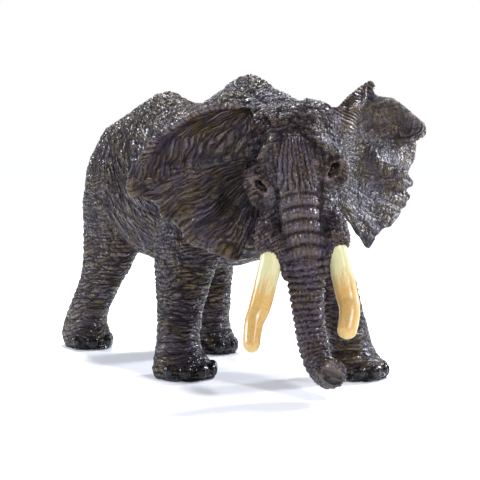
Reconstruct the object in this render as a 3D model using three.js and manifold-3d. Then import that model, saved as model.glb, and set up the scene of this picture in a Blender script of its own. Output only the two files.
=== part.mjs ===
// A large soft-vinyl African elephant figure in a walking pose, its head turned and its ears spread.
// Millimetres, +Z up. The figure faces -Y and its left side is +X.
import * as THREE from 'three';
import { mergeVertices } from 'three/addons/utils/BufferGeometryUtils.js';
import Module from 'manifold-3d';

const wasm = await Module();
wasm.setup();

// Driving sizes of the whole figure
const shoulderHeight = 183;
const torsoLength = 194;
const barrelWidth = 86;
const stanceLength = 132.5;
const frontTrack = 84;
const rearTrack = 56.4;
const frontStride = 62.8;
const rearStride = 68.9;

// How the castings are made and how they seat
const wall = 3;
const clearance = 0.3;
const overrun = 2;
const cutterSize = 400;

// Torso
const torsoAhead = 86;
const torsoBehind = torsoLength - torsoAhead;
const torsoRings = 27;
const torsoSides = 26;
const cavityRings = 12;
const cavitySides = 13;

// Neck
const neckOverlap = 46;
const neckFrom = torsoAhead - neckOverlap;
const neckReach = 56;
const neckHeight = shoulderHeight * 0.694;
const neckHalfWidth = 36;
const neckHalfDepth = 48;
const neckSeamReach = 36;
const neckSeamAhead = neckFrom + neckSeamReach;
const neckSeamTilt = (15 * Math.PI) / 180;
const neckSpigotRadius = 17;
const neckSpigotLength = 7;
const neckBoreReach = 26;
const neckRings = 6;
const neckSides = 20;

// Legs
const frontFootLength = 40.5;
const frontFootWidth = 38.5;
const rearFootLength = 35;
const rearFootWidth = 31;
const rightShoulderTrack = 60;
const leftShoulderTrack = 52;
const rightShoulderInset = 54;
const rightShoulderAhead = torsoAhead - rightShoulderInset;
const leftShoulderInset = 32;
const leftShoulderAhead = torsoAhead - leftShoulderInset;
const hipTrack = 46;
const rightHipInset = 40;
const leftHipInset = 58;
const rightForelegLean = 6.6;
const leftForelegLean = -0.5;
const leftHindLegLean = -4;
const shoulderJointHeight = shoulderHeight * 0.511;
const hipJointHeight = shoulderHeight * 0.522;
const seamTilt = Math.PI / 6;
const legSpigotRadius = 9;
const legSpigotLength = 6;
const legCoreRadius = 6;
const legCoreDepth = 66;
const legCoreSides = 10;
const legRings = 14;
const legSides = 14;

// Toenails
const nailWidth = 8.8;
const nailHeight = 7.6;
const nailThickness = 4.4;
const nailArc = 1.95;

// Head, whose own origin lies midway between its eyes
const headPastNeck = 13;
const headAhead = neckFrom + neckReach + headPastNeck;
const headLeft = -13.5;
const headHeight = shoulderHeight * 0.683;
const headTurn = (-33 * Math.PI) / 180;
const headRoll = (-5 * Math.PI) / 180;
const faceHeight = 105;
const faceLength = 56;
const headWidth = 55;
const headRings = 16;
const headSides = 18;
const muzzleShift = -1.5;
const crownSpacing = 21;
const crownShift = 3;
const crownHeight = 28.2;
const crownBehind = 20;
const crownRadius = 15;
const crownTilt = 0.5;
const browLength = 24;
const browThickness = 7;
const cheekLength = 24;
const cheekThickness = 8;
const templeHollowRadius = 14;
const foreheadHollowRadius = 24;
const hollowSides = 10;
const hollowRings = 7;
const sheathSpread = 38;
const sheathDrop = 20;
const sheathLength = 22;
const sheathRadius = 8.8;
const eyeRadius = 3.9;
const eyeSpacing = 43;
const eyeTilt = 4.8;
const lidThickness = 1.8;

// Trunk
const trunkDrop = 111;
const trunkReach = 41;
const trunkSway = 6.5;
const trunkRootRadius = 13;
const trunkFolds = 20;
const trunkFoldDepth = 0.7;
const trunkPlainRings = 13;
const trunkSides = 14;
const trunkSeamDrop = 47;
const trunkSpigotRadius = 6;
const trunkSpigotLength = 7;
const nostrilRadius = 1.7;
const nostrilDepth = 5;
const nostrilSpacing = 6.6;

// Lower jaw
const jawLength = 25;
const jawBehind = 28.5;
const jawHalfWidth = 13;
const jawThickness = 13;
const jawDrop = 42;
const jawSpigotRadius = 4;
const jawSpigotLength = 5;
const jawRings = 8;
const jawSides = 12;

// Tusks
const tuskDrop = 56;
const tuskReach = 24;
const tuskSpread = 37;
const tuskFlare = 17;
const tuskRadius = 6.5;
const tuskRootAhead = 13;
const tuskRootDrop = 37;
const tuskRings = 12;
const tuskSides = 12;
const tuskPegRadius = 3.4;
const tuskPegLength = 8;

// Ears
const earSpan = 84;
const earHeight = 100;
const earRootThickness = 3;
const earEdgeThickness = 1.8;
const earRootSpread = 44;
const earRootBehind = 11;
const rightEarSweep = (8 * Math.PI) / 180;
const leftEarSweep = (44 * Math.PI) / 180;
const earFlatRoot = 8;
const earBowl = 5;
const earCurl = 8;
const earRipple = 1.6;
const earFold = 5;
const earFoldWidth = 8;
const earRays = 38;
const earSteps = 7;

// Tail
const tailLength = 92;
const tailRootRadius = 5.4;
const tailTipRadius = 2.2;
const tuftLength = 20;
const tuftRadius = 3.6;
const tailHeight = shoulderHeight * 0.744;
const tailRings = 16;
const tailSides = 8;
const tailSwing = 12;

// Rows run from the rump to the chest. Heights are shares of the shoulder height, widths of half the barrel.
const torsoShares = [
  { along: 0, top: 0.725, bottom: 0.577, half: 0.2, widest: 0.656, square: 2, pinch: 0.1 },
  { along: 0.02, top: 0.78, bottom: 0.498, half: 0.46, widest: 0.626, square: 2, pinch: 0.15 },
  { along: 0.06, top: 0.846, bottom: 0.439, half: 0.76, widest: 0.607, square: 2.1, pinch: 0.25 },
  { along: 0.12, top: 0.876, bottom: 0.4, half: 0.905, widest: 0.597, square: 2.1, pinch: 0.3 },
  { along: 0.2, top: 0.909, bottom: 0.372, half: 0.957, widest: 0.587, square: 2.15, pinch: 0.3 },
  { along: 0.33, top: 0.955, bottom: 0.352, half: 0.992, widest: 0.577, square: 2.2, pinch: 0.3 },
  { along: 0.39, top: 0.93, bottom: 0.343, half: 1.005, widest: 0.572, square: 2.2, pinch: 0.27 },
  { along: 0.45, top: 0.918, bottom: 0.336, half: 1.015, widest: 0.567, square: 2.2, pinch: 0.25 },
  { along: 0.55, top: 0.913, bottom: 0.334, half: 1.02, widest: 0.567, square: 2.2, pinch: 0.25 },
  { along: 0.66, top: 0.953, bottom: 0.346, half: 0.97, widest: 0.567, square: 2.2, pinch: 0.35 },
  { along: 0.76, top: 1.002, bottom: 0.372, half: 0.92, widest: 0.577, square: 2.15, pinch: 0.4 },
  { along: 0.86, top: 0.985, bottom: 0.396, half: 0.87, widest: 0.587, square: 2.1, pinch: 0.35 },
  { along: 0.94, top: 0.902, bottom: 0.43, half: 0.74, widest: 0.607, square: 2, pinch: 0.25 },
  { along: 0.98, top: 0.823, bottom: 0.475, half: 0.54, widest: 0.626, square: 2, pinch: 0.15 },
  { along: 1, top: 0.744, bottom: 0.548, half: 0.24, widest: 0.636, square: 2, pinch: 0.1 },
];

// Ridges and hollows of the flanks. A path's places are shares of the torso's length from its rump, of half
// the barrel's width and of the shoulder height, and reach and lift are shares of the barrel's width.
const reliefShares = [
  { path: [[0.876, 0.77, 0.88], [0.814, 0.93, 0.754], [0.742, 1, 0.628]], reach: 0.105, lift: 0.03 },
  { path: [[0.65, 0.98, 0.7], [0.629, 1.02, 0.563]], reach: 0.116, lift: -0.021 },
  { path: [[0.237, 0.8, 0.825]], reach: 0.128, lift: 0.03 },
  { path: [[0.237, 0.77, 0.836], [0.119, 0.51, 0.825], [0.026, 0.19, 0.78]], reach: 0.081, lift: 0.019 },
  { path: [[0.34, 0.98, 0.66]], reach: 0.174, lift: -0.03 },
  { path: [[0.371, 1, 0.344], [0.299, 1.02, 0.432], [0.258, 1.02, 0.541]], reach: 0.062, lift: 0.025 },
];

// Rows run from the torso to the head, as shares of the neck's reach, half width and half depth.
const neckShares = [
  { along: 0, left: 0, half: 1, above: 1.06, below: 0.98 },
  { along: 0.4, left: -0.01, half: 0.94, above: 1.04, below: 0.96 },
  { along: 0.72, left: -0.05, half: 0.82, above: 0.95, below: 0.9 },
  { along: 1, left: -0.12, half: 0.66, above: 0.8, below: 0.8 },
];

// Rows run up a front leg. Heights are shares of the shoulder height, reach is how much of the way from
// the foot to the shoulder the leg has come, lean is a share of how far that leg leans back from the
// straight way, and the rest are shares of half the foot's length or width.
const frontLegShares = [
  { height: 0, reach: 0, lean: 0, front: 0.95, back: 0.92, half: 0.94 },
  { height: 0.016, reach: 0, lean: 0, front: 1, back: 0.99, half: 1 },
  { height: 0.045, reach: 0.01, lean: 0.25, front: 0.92, back: 0.96, half: 0.95 },
  { height: 0.08, reach: 0.03, lean: 0.7, front: 0.64, back: 0.88, half: 0.76 },
  { height: 0.12, reach: 0.08, lean: 1, front: 0.57, back: 0.83, half: 0.68 },
  { height: 0.18, reach: 0.16, lean: 1, front: 0.58, back: 0.84, half: 0.69 },
  { height: 0.25, reach: 0.28, lean: 0.95, front: 0.66, back: 0.92, half: 0.76 },
  { height: 0.31, reach: 0.4, lean: 0.85, front: 0.8, back: 1.02, half: 0.85 },
  { height: 0.38, reach: 0.56, lean: 0.75, front: 0.97, back: 1.2, half: 0.95 },
  { height: 0.46, reach: 0.72, lean: 0.5, front: 1.15, back: 1.32, half: 1 },
  { height: 0.56, reach: 0.88, lean: 0.2, front: 1.3, back: 1.34, half: 0.96 },
  { height: 0.68, reach: 0.98, lean: 0, front: 1.18, back: 1.22, half: 0.75 },
  { height: 0.78, reach: 1, lean: 0, front: 0.78, back: 0.84, half: 0.42 },
  { height: 0.84, reach: 1, lean: 0, front: 0.26, back: 0.3, half: 0.12 },
];

// The same for a hind leg, whose knee comes forward and whose hock goes back.
const rearLegShares = [
  { height: 0, reach: 0, lean: 0, front: 0.93, back: 1.14, half: 0.92 },
  { height: 0.016, reach: 0, lean: 0, front: 1, back: 1.3, half: 1 },
  { height: 0.045, reach: 0, lean: 0, front: 0.92, back: 1.5, half: 0.98 },
  { height: 0.08, reach: 0.02, lean: 0, front: 0.66, back: 1.54, half: 0.86 },
  { height: 0.12, reach: 0.06, lean: 0, front: 0.62, back: 1.42, half: 0.79 },
  { height: 0.18, reach: 0.16, lean: 0.1, front: 0.9, back: 1.16, half: 0.78 },
  { height: 0.25, reach: 0.34, lean: 0.5, front: 1.16, back: 0.98, half: 0.82 },
  { height: 0.31, reach: 0.5, lean: 1, front: 1.38, back: 0.96, half: 0.92 },
  { height: 0.38, reach: 0.66, lean: 1, front: 1.54, back: 1.12, half: 1.06 },
  { height: 0.46, reach: 0.8, lean: 0.7, front: 1.64, back: 1.42, half: 1.18 },
  { height: 0.56, reach: 0.92, lean: 0.3, front: 1.76, back: 1.76, half: 1.22 },
  { height: 0.68, reach: 1, lean: 0, front: 1.5, back: 1.54, half: 0.96 },
  { height: 0.77, reach: 1, lean: 0, front: 0.98, back: 0.9, half: 0.56 },
  { height: 0.83, reach: 1, lean: 0, front: 0.32, back: 0.3, half: 0.16 },
];

// Rows run down the head from its crown. Rise is a share of the face height above the eyes, and front and
// back are shares of the face length ahead of and behind the eyes.
const headShares = [
  { rise: 0.41, front: -0.18, back: -0.46, half: 0.3, pinch: 0 },
  { rise: 0.39, front: -0.06, back: -0.58, half: 0.56, pinch: 0.05 },
  { rise: 0.35, front: 0.03, back: -0.68, half: 0.76, pinch: 0.12 },
  { rise: 0.29, front: 0.1, back: -0.74, half: 0.9, pinch: 0.2 },
  { rise: 0.22, front: 0.17, back: -0.78, half: 0.99, pinch: 0.26 },
  { rise: 0.14, front: 0.23, back: -0.78, half: 1.02, pinch: 0.32 },
  { rise: 0.05, front: 0.28, back: -0.75, half: 0.98, pinch: 0.38 },
  { rise: -0.04, front: 0.32, back: -0.7, half: 0.92, pinch: 0.42 },
  { rise: -0.14, front: 0.36, back: -0.62, half: 0.86, pinch: 0.44 },
  { rise: -0.24, front: 0.4, back: -0.5, half: 0.8, pinch: 0.42 },
  { rise: -0.33, front: 0.43, back: -0.36, half: 0.7, pinch: 0.34 },
  { rise: -0.4, front: 0.44, back: -0.2, half: 0.54, pinch: 0.2 },
  { rise: -0.44, front: 0.43, back: -0.08, half: 0.44, pinch: 0.1 },
];

// A brow ridge's middle line, outwards from the forehead to the eye, as shares of its length.
const browShares = [
  { out: 0.2, up: 1.05, ahead: -0.04, radius: 0.6 },
  { out: 0.42, up: 0.78, ahead: 0.16, radius: 0.9 },
  { out: 0.64, up: 0.5, ahead: 0.12, radius: 0.92 },
  { out: 0.84, up: 0.24, ahead: -0.08, radius: 0.8 },
];

// A cheekbone's middle line, down from behind the brow, as shares of half the head's width and of its length.
const cheekShares = [
  { out: 0.74, up: 0.56, ahead: -0.18, radius: 0.6 },
  { out: 0.85, up: 0.24, ahead: -0.22, radius: 1.0 },
  { out: 0.82, up: -0.18, ahead: -0.2, radius: 1.0 },
  { out: 0.66, up: -0.66, ahead: -0.06, radius: 0.6 },
];

// Where the balls that sink the temples and the forehead lie, as shares of the head's width and face height.
const templeHollowShare = { out: 0.625, up: 0.24 };
const foreheadHollowShare = { ahead: 0.5, left: 0.02, up: 0.3 };

// A tusk sheath's middle line, as shares of its spread, length and radius.
const sheathShares = [
  { out: 0.36, down: -0.2, ahead: 0.06, radius: 0.5 },
  { out: 0.45, down: 0.25, ahead: 0.26, radius: 0.92 },
  { out: 0.49, down: 0.66, ahead: 0.5, radius: 1.04 },
  { out: 0.49, down: 1.0, ahead: 0.66, radius: 0.96 },
];

// The trunk's middle line, with its drop below the eyes, its reach and its sway as shares.
const trunkShares = [
  { drop: 0.18, ahead: 0.2, left: 0, radius: 0.96 },
  { drop: 0.3, ahead: 0.26, left: 0, radius: 1 },
  { drop: 0.42, ahead: 0.3, left: 0, radius: 0.98 },
  { drop: 0.53, ahead: 0.32, left: -0.03, radius: 0.86 },
  { drop: 0.63, ahead: 0.34, left: -0.05, radius: 0.77 },
  { drop: 0.74, ahead: 0.37, left: -0.06, radius: 0.7 },
  { drop: 0.84, ahead: 0.42, left: 0, radius: 0.67 },
  { drop: 0.93, ahead: 0.52, left: 0.2, radius: 0.65 },
  { drop: 0.985, ahead: 0.68, left: 0.66, radius: 0.64 },
  { drop: 1, ahead: 0.86, left: 1.04, radius: 0.63 },
  { drop: 0.98, ahead: 1, left: 1.28, radius: 0.62 },
];

// The tusks' middle lines, as shares of their reach, flare and drop.
const rightTuskShares = [
  { ahead: 0, out: -0.03, down: 0.02, radius: 0.86 },
  { ahead: 0.12, out: 0.17, down: 0.27, radius: 1.0 },
  { ahead: 0.32, out: 0.49, down: 0.53, radius: 0.98 },
  { ahead: 0.62, out: 0.87, down: 0.765, radius: 0.84 },
  { ahead: 1, out: 1.07, down: 1.01, radius: 0.7 },
];
const leftTuskShares = [
  { ahead: 0, out: -0.02, down: 0.04, radius: 0.86 },
  { ahead: 0.12, out: 0.06, down: 0.235, radius: 0.98 },
  { ahead: 0.32, out: 0.16, down: 0.505, radius: 0.98 },
  { ahead: 0.62, out: 0.18, down: 0.727, radius: 0.9 },
  { ahead: 1, out: -0.1, down: 0.96, radius: 0.82 },
];

// The jaw's middle line from the throat to the lip, as shares of its length, half width and thickness.
const jawShares = [
  { along: 0, drop: -0.1, half: 0.7, above: 0.7, below: 0.3 },
  { along: 0.25, drop: 0.05, half: 1.0, above: 0.8, below: 0.42 },
  { along: 0.55, drop: 0.3, half: 0.82, above: 0.6, below: 0.42 },
  { along: 0.8, drop: 0.52, half: 0.5, above: 0.36, below: 0.34 },
  { along: 1, drop: 0.7, half: 0.2, above: 0.14, below: 0.18 },
];

// Ear outlines from the top of the root round to its foot: outwards as a share of the ear's span, and up
// from the eyes as a share of its height.
const rightEarShares = [
  [0.014, 0.42], [0.214, 0.445], [0.32, 0.442], [0.442, 0.412], [0.537, 0.375], [0.678, 0.315],
  [0.731, 0.284], [0.796, 0.212], [0.858, 0.157], [0.909, 0.084], [0.932, 0.012], [0.896, -0.047],
  [0.828, -0.014], [0.819, -0.059], [0.725, -0.107], [0.71, -0.17], [0.584, -0.247], [0.555, -0.308],
  [0.518, -0.352], [0.429, -0.388], [0.321, -0.434], [0.24, -0.47], [0.176, -0.47], [0.157, -0.424],
  [0.093, -0.345], [0.03, -0.25], [0.008, -0.18],
];
const leftEarShares = [
  [0.128, 0.37], [0.25, 0.352], [0.355, 0.392], [0.405, 0.478], [0.45, 0.51], [0.49, 0.49], [0.53, 0.43],
  [0.774, 0.388], [0.973, 0.285], [1.11, 0.206], [1.108, 0.152], [1.04, 0.129], [1.005, 0.12],
  [0.984, 0.047], [0.931, -0.044], [0.872, -0.069], [0.929, -0.141], [0.854, -0.182], [0.876, -0.234],
  [0.758, -0.307], [0.656, -0.363], [0.44, -0.418], [0.337, -0.495], [0.259, -0.436], [0.164, -0.332],
  [0.056, -0.25], [0, -0.2],
];
const earRootShares = { top: 0.38, foot: -0.13 };

// Where an ear's diagonal fold starts and ends, in the same shares.
const earFoldShares = { from: [0.36, 0.1], to: [0.9, -0.1] };

// A point given by its distances ahead of, left of and above a frame's origin.
const at = (ahead, left, up) => new THREE.Vector3(left, -ahead, up);
const leftward = new THREE.Vector3(1, 0, 0);
const forward = new THREE.Vector3(0, -1, 0);
const upward = new THREE.Vector3(0, 0, 1);
const flipped = (direction) => direction.clone().negate();
const along = (point, direction, length) => point.clone().addScaledVector(direction, length);

// Reads a table at a value of its key column, on a smooth curve through its rows.
function rowAt(rows, key, value) {
  const rising = rows[rows.length - 1][key] > rows[0][key];
  let i = 0;
  while (i < rows.length - 2 && (rising ? value > rows[i + 1][key] : value < rows[i + 1][key])) {
    i += 1;
  }
  const gap = rows[i + 1][key] - rows[i][key];
  const t = THREE.MathUtils.clamp((value - rows[i][key]) / gap, 0, 1);
  const slope = (column, j) => {
    const before = rows[Math.max(j - 1, 0)];
    const after = rows[Math.min(j + 1, rows.length - 1)];
    return (after[column] - before[column]) / (after[key] - before[key]);
  };
  const result = {};
  for (const column of Object.keys(rows[0])) {
    const points = [rows[i][column], rows[i + 1][column]];
    const slopes = [slope(column, i) * gap, slope(column, i + 1) * gap];
    const between = (2 * t ** 3 - 3 * t ** 2 + 1) * points[0] + (3 * t ** 2 - 2 * t ** 3) * points[1];
    result[column] = between + (t ** 3 - 2 * t ** 2 + t) * slopes[0] + (t ** 3 - t ** 2) * slopes[1];
  }
  return result;
}

// Shares from 0 to 1, evenly spaced or crowded together at both ends.
const even = (count) => Array.from({ length: count }, (_, i) => i / (count - 1));
const crowded = (count) => even(count).map((share) => (1 - Math.cos(Math.PI * share)) / 2);

// A ring of points: a super-ellipse whose two halves may differ, pinched towards its upper side.
function ring({ centre, across, upright, half, above, below, square = 2, pinch = 0 }, sides, grow = 0) {
  return even(sides + 1).slice(0, sides).map((share) => {
    const turn = share * 2 * Math.PI;
    const [x, y] = [Math.cos(turn), Math.sin(turn)].map((v) => Math.sign(v) * Math.abs(v) ** (2 / square));
    const width = half * (1 - pinch * Math.max(0, y) ** 2) + grow;
    const reach = (y > 0 ? above : below) + grow;
    return along(along(centre, across, x * width), upright, y * reach);
  });
}

// A solid from corners and triangles, turned face out if it came out inside out.
function solid(points, triangles) {
  const build = (faces) => new wasm.Manifold(new wasm.Mesh({
    numProp: 3,
    vertProperties: new Float32Array(points.flatMap((p) => [p.x, p.y, p.z])),
    triVerts: new Uint32Array(faces.flat()),
  }));
  const made = build(triangles);
  return made.volume() > 0 ? made : build(triangles.map(([a, b, c]) => [a, c, b]));
}

// Skins rings of equal count into one closed solid, with a fan over each end.
function skin(rings) {
  const sides = rings[0].length;
  const points = rings.flat();
  const triangles = [];
  for (let i = 0; i < rings.length - 1; i += 1) {
    for (let k = 0; k < sides; k += 1) {
      const next = (k + 1) % sides;
      const [a, b] = [i * sides + k, i * sides + next];
      const [c, d] = [b + sides, a + sides];
      triangles.push([a, b, c], [a, c, d]);
    }
  }
  for (const end of [0, rings.length - 1]) {
    const middle = new THREE.Vector3();
    rings[end].forEach((p) => middle.addScaledVector(p, 1 / sides));
    points.push(middle);
    for (let k = 0; k < sides; k += 1) {
      const edge = [end * sides + k, end * sides + ((k + 1) % sides)];
      triangles.push([...(end ? edge : edge.reverse()), points.length - 1]);
    }
  }
  return solid(points, triangles);
}

// A solid from one of three.js's own closed geometries.
function fromGeometry(geometry) {
  geometry.deleteAttribute('normal');
  geometry.deleteAttribute('uv');
  const merged = mergeVertices(geometry);
  const corners = merged.attributes.position;
  const corner = (_, i) => new THREE.Vector3().fromBufferAttribute(corners, i);
  const points = Array.from({ length: corners.count }, corner);
  const order = Array.from(merged.index.array);
  return solid(points, Array.from({ length: order.length / 3 }, (_, i) => order.slice(3 * i, 3 * i + 3)));
}

// A round peg that starts at a point and runs along a direction.
function peg(start, direction, radius, length, sides = 14) {
  const geometry = new THREE.CylinderGeometry(radius, radius, length, sides);
  geometry.translate(0, length / 2, 0);
  geometry.applyQuaternion(new THREE.Quaternion().setFromUnitVectors(new THREE.Vector3(0, 1, 0), direction));
  geometry.translate(start.x, start.y, start.z);
  return fromGeometry(geometry);
}

// Everything beyond a plane, as a block big enough for any piece here.
function beyond(point, normal) {
  const geometry = new THREE.BoxGeometry(cutterSize, cutterSize, cutterSize);
  geometry.translate(0, 0, cutterSize / 2);
  geometry.applyQuaternion(new THREE.Quaternion().setFromUnitVectors(upward, normal));
  geometry.translate(point.x, point.y, point.z);
  return fromGeometry(geometry);
}

// A ball stretched along three directions.
function lump(centre, directions, sizes, around = 10, down = 7) {
  const geometry = new THREE.SphereGeometry(1, around, down);
  const axes = directions.map((direction, i) => direction.clone().multiplyScalar(sizes[i]));
  const basis = new THREE.Matrix4().makeBasis(...axes);
  geometry.applyMatrix4(basis.setPosition(centre));
  return fromGeometry(geometry);
}

// A tube along a curve, whose radius is worked out at each share of the way.
function tube(curve, shares, radiusAt, sides) {
  return skin(shares.map((share) => {
    const heading = curve.getTangentAt(share);
    const across = new THREE.Vector3().crossVectors(heading, Math.abs(heading.x) > 0.9 ? upward : leftward);
    const upright = new THREE.Vector3().crossVectors(across.normalize(), heading).normalize();
    const radius = radiusAt(share);
    const round = { half: radius, above: radius, below: radius };
    return ring({ centre: curve.getPointAt(share), across, upright, ...round }, sides);
  }));
}

// Reads a column of a table along its curve, at a share of the curve's length.
function columnAlong(rows, curve, column, share) {
  const place = curve.getUtoTmapping(share) * (rows.length - 1);
  const row = Math.min(Math.floor(place), rows.length - 2);
  return THREE.MathUtils.lerp(rows[row][column], rows[row + 1][column], place - row);
}

// Joins two castings at a plane: the limb keeps what lies beyond it and gains a peg, and the body gains the
// limb's stub, a seat that fits round the limb and a socket for the peg.
function seat(body, limb, grownLimb, stub, joint) {
  const { point, normal, radius, length, through } = joint;
  const back = flipped(normal);
  const start = along(point, normal, overrun);
  const recess = grownLimb.intersect(beyond(along(point, back, clearance / 2), normal));
  const socket = peg(start, back, radius + clearance, length + overrun + through);
  const outer = limb.intersect(beyond(along(point, normal, clearance / 2), normal));
  return {
    body: body.add(stub.intersect(beyond(point, back))).subtract(recess).subtract(socket),
    limb: outer.add(peg(start, back, radius, length + overrun)),
    keepOut: peg(start, back, radius + 2 * clearance, length + overrun + clearance),
  };
}

// Torso: how far the flank's ridges and hollows lift a point of its skin
const reliefs = [-1, 1].flatMap((side) => reliefShares.map(({ path, reach, lift }) => ({
  path: path.map(([share, out, up]) => at(
    share * torsoLength - torsoBehind, (side * out * barrelWidth) / 2, up * shoulderHeight)),
  reach: reach * barrelWidth,
  lift: lift * barrelWidth,
})));

function gapToPath(point, path) {
  const ends = path.length > 1 ? path.slice(1) : path;
  return Math.min(...ends.map((end, i) => {
    const stretch = new THREE.Line3(path[i], end);
    return stretch.closestPointToPoint(point, true, new THREE.Vector3()).distanceTo(point);
  }));
}

const reliefAt = (point) => reliefs.reduce(
  (sum, { path, reach, lift }) => sum + lift * Math.exp(-((gapToPath(point, path) / reach) ** 2)), 0);

// Torso: rings stand across the body's length
function torsoLoft(rings, sides, grow = 0) {
  return skin(crowded(rings).map((share) => {
    const row = rowAt(torsoShares, 'along', share);
    const level = row.widest * shoulderHeight;
    const plain = ring({
      centre: at(share * (torsoLength + 2 * grow) - torsoBehind - grow, 0, level),
      across: leftward,
      upright: upward,
      half: (row.half * barrelWidth) / 2,
      above: row.top * shoulderHeight - level,
      below: level - row.bottom * shoulderHeight,
      square: row.square,
      pinch: row.pinch,
    }, sides, grow);
    const middle = at(share * torsoLength - torsoBehind, 0, level);
    return plain.map((point) => along(point, point.clone().sub(middle).normalize(), reliefAt(point)));
  }));
}

function neckCentre(share) {
  const row = rowAt(neckShares, 'along', share);
  return at(neckFrom + neckReach * share, row.left * neckHalfWidth, neckHeight);
}

function neckLoft(grow = 0) {
  return skin(even(neckRings).map((share) => {
    const row = rowAt(neckShares, 'along', share);
    return ring({
      centre: neckCentre(share),
      across: leftward.clone().applyAxisAngle(upward, headTurn * share),
      upright: upward,
      half: row.half * neckHalfWidth,
      above: row.above * neckHalfDepth,
      below: row.below * neckHalfDepth,
      pinch: 0.3,
    }, neckSides, grow);
  }));
}

// Legs: rings lie level, from the flat sole up into the body
const frontLeg = {
  rows: frontLegShares, length: frontFootLength, width: frontFootWidth, toes: 5,
  jointHeight: shoulderJointHeight,
};
const rearLeg = {
  rows: rearLegShares, length: rearFootLength, width: rearFootWidth, toes: 4,
  jointHeight: hipJointHeight,
};
const legs = [
  {
    ...frontLeg, name: 'front_right_leg', side: -1, foot: (stanceLength - frontStride) / 2,
    track: frontTrack, jointTrack: rightShoulderTrack, jointAhead: rightShoulderAhead,
    lean: rightForelegLean,
  },
  {
    ...frontLeg, name: 'front_left_leg', side: 1, foot: (stanceLength + frontStride) / 2,
    track: frontTrack, jointTrack: leftShoulderTrack, jointAhead: leftShoulderAhead,
    lean: leftForelegLean,
  },
  {
    ...rearLeg, name: 'rear_right_leg', side: -1, foot: (-stanceLength - rearStride) / 2,
    track: rearTrack, jointTrack: hipTrack, jointAhead: rightHipInset - torsoBehind, lean: 0,
  },
  {
    ...rearLeg, name: 'rear_left_leg', side: 1, foot: (rearStride - stanceLength) / 2,
    track: rearTrack, jointTrack: hipTrack, jointAhead: leftHipInset - torsoBehind,
    lean: leftHindLegLean,
  },
];

function legCentre(leg, height) {
  const row = rowAt(leg.rows, 'height', height / shoulderHeight);
  const ahead = THREE.MathUtils.lerp(leg.foot, leg.jointAhead, row.reach) - row.lean * leg.lean;
  return at(ahead, (leg.side * THREE.MathUtils.lerp(leg.track, leg.jointTrack, row.reach)) / 2, height);
}

function legLoft(leg, grow = 0) {
  const last = leg.rows[leg.rows.length - 1].height;
  return skin(even(legRings).map((share) => {
    const row = rowAt(leg.rows, 'height', share ** 1.25 * last);
    return ring({
      centre: along(legCentre(leg, row.height * shoulderHeight), upward, share * grow),
      across: leftward,
      upright: forward,
      half: (row.half * leg.width) / 2,
      above: (row.front * leg.length) / 2,
      below: (row.back * leg.length) / 2,
      square: 2.1,
    }, legSides, grow);
  }));
}

function toenails(leg) {
  const nails = even(leg.toes).map((share) => {
    const turn = (share - 0.5) * nailArc;
    const out = forward.clone().applyAxisAngle(upward, turn);
    const across = new THREE.Vector3().crossVectors(upward, out);
    const rim = Math.hypot(Math.cos(turn) * leg.length, Math.sin(turn) * leg.width) / 2;
    const width = nailWidth * (1 - 0.3 * Math.abs(share - 0.5));
    const centre = along(along(legCentre(leg, 0), out, rim - nailThickness / 3), upward, nailHeight * 0.8);
    return lump(centre, [across, out, upward], [width / 2, nailThickness / 2, nailHeight / 2], 8, 4);
  });
  return nails.reduce((sum, nail) => sum.add(nail));
}

function legJoint(leg) {
  const normal = new THREE.Vector3(leg.side * Math.cos(seamTilt), 0, -Math.sin(seamTilt));
  const point = legCentre(leg, leg.jointHeight);
  return { point, normal, radius: legSpigotRadius, length: legSpigotLength, through: wall };
}

// The hollow of a leg: from the end of its peg down its middle
function legCore(leg, joint) {
  const top = along(joint.point, joint.normal, -legSpigotLength - overrun);
  const steps = even(5).map((share) => legCentre(leg, leg.jointHeight - legCoreDepth * (0.2 + 0.8 * share)));
  const curve = new THREE.CatmullRomCurve3([top, joint.point, ...steps]);
  return tube(curve, even(8), () => legCoreRadius, legCoreSides);
}

// Head: rings lie level in the head's own frame, whose origin is midway between the eyes
function headLoft(rings, sides, grow = 0) {
  const [top, foot] = [headShares[0].rise, headShares[headShares.length - 1].rise];
  return skin(crowded(rings).map((share) => {
    const row = rowAt(headShares, 'rise', THREE.MathUtils.lerp(top, foot, share));
    const [front, back] = [row.front * faceLength, row.back * faceLength];
    const middle = THREE.MathUtils.lerp(back, front, 0.55);
    return ring({
      centre: at(middle, share * muzzleShift, row.rise * faceHeight + grow * (1 - 2 * share)),
      across: leftward,
      upright: forward,
      half: (row.half * headWidth) / 2,
      above: front - middle,
      below: middle - back,
      square: 2.2,
      pinch: row.pinch,
    }, sides, grow);
  }));
}

function crownDome(side) {
  const up = crownHeight + (side * crownTilt) / 2;
  const centre = at(-crownBehind, crownShift + (side * crownSpacing) / 2, up);
  return lump(centre, [leftward, forward, upward], [crownRadius, crownRadius * 1.5, crownRadius], 12, 8);
}

function taperedTube(points, rows, radius, rings, sides) {
  const curve = new THREE.CatmullRomCurve3(points);
  return tube(curve, even(rings), (share) => columnAlong(rows, curve, 'radius', share) * radius, sides);
}

function brow(side) {
  const points = browShares.map((row) => at(
    row.ahead * browLength, side * row.out * browLength, row.up * browLength + (side * eyeTilt) / 2));
  return taperedTube(points, browShares, browThickness, 6, 8);
}

function cheek(side) {
  const points = cheekShares.map((row) => at(
    row.ahead * cheekLength,
    (side * row.out * headWidth) / 2,
    row.up * cheekLength + (side * eyeTilt) / 2));
  return taperedTube(points, cheekShares, cheekThickness, 6, 8);
}

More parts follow.
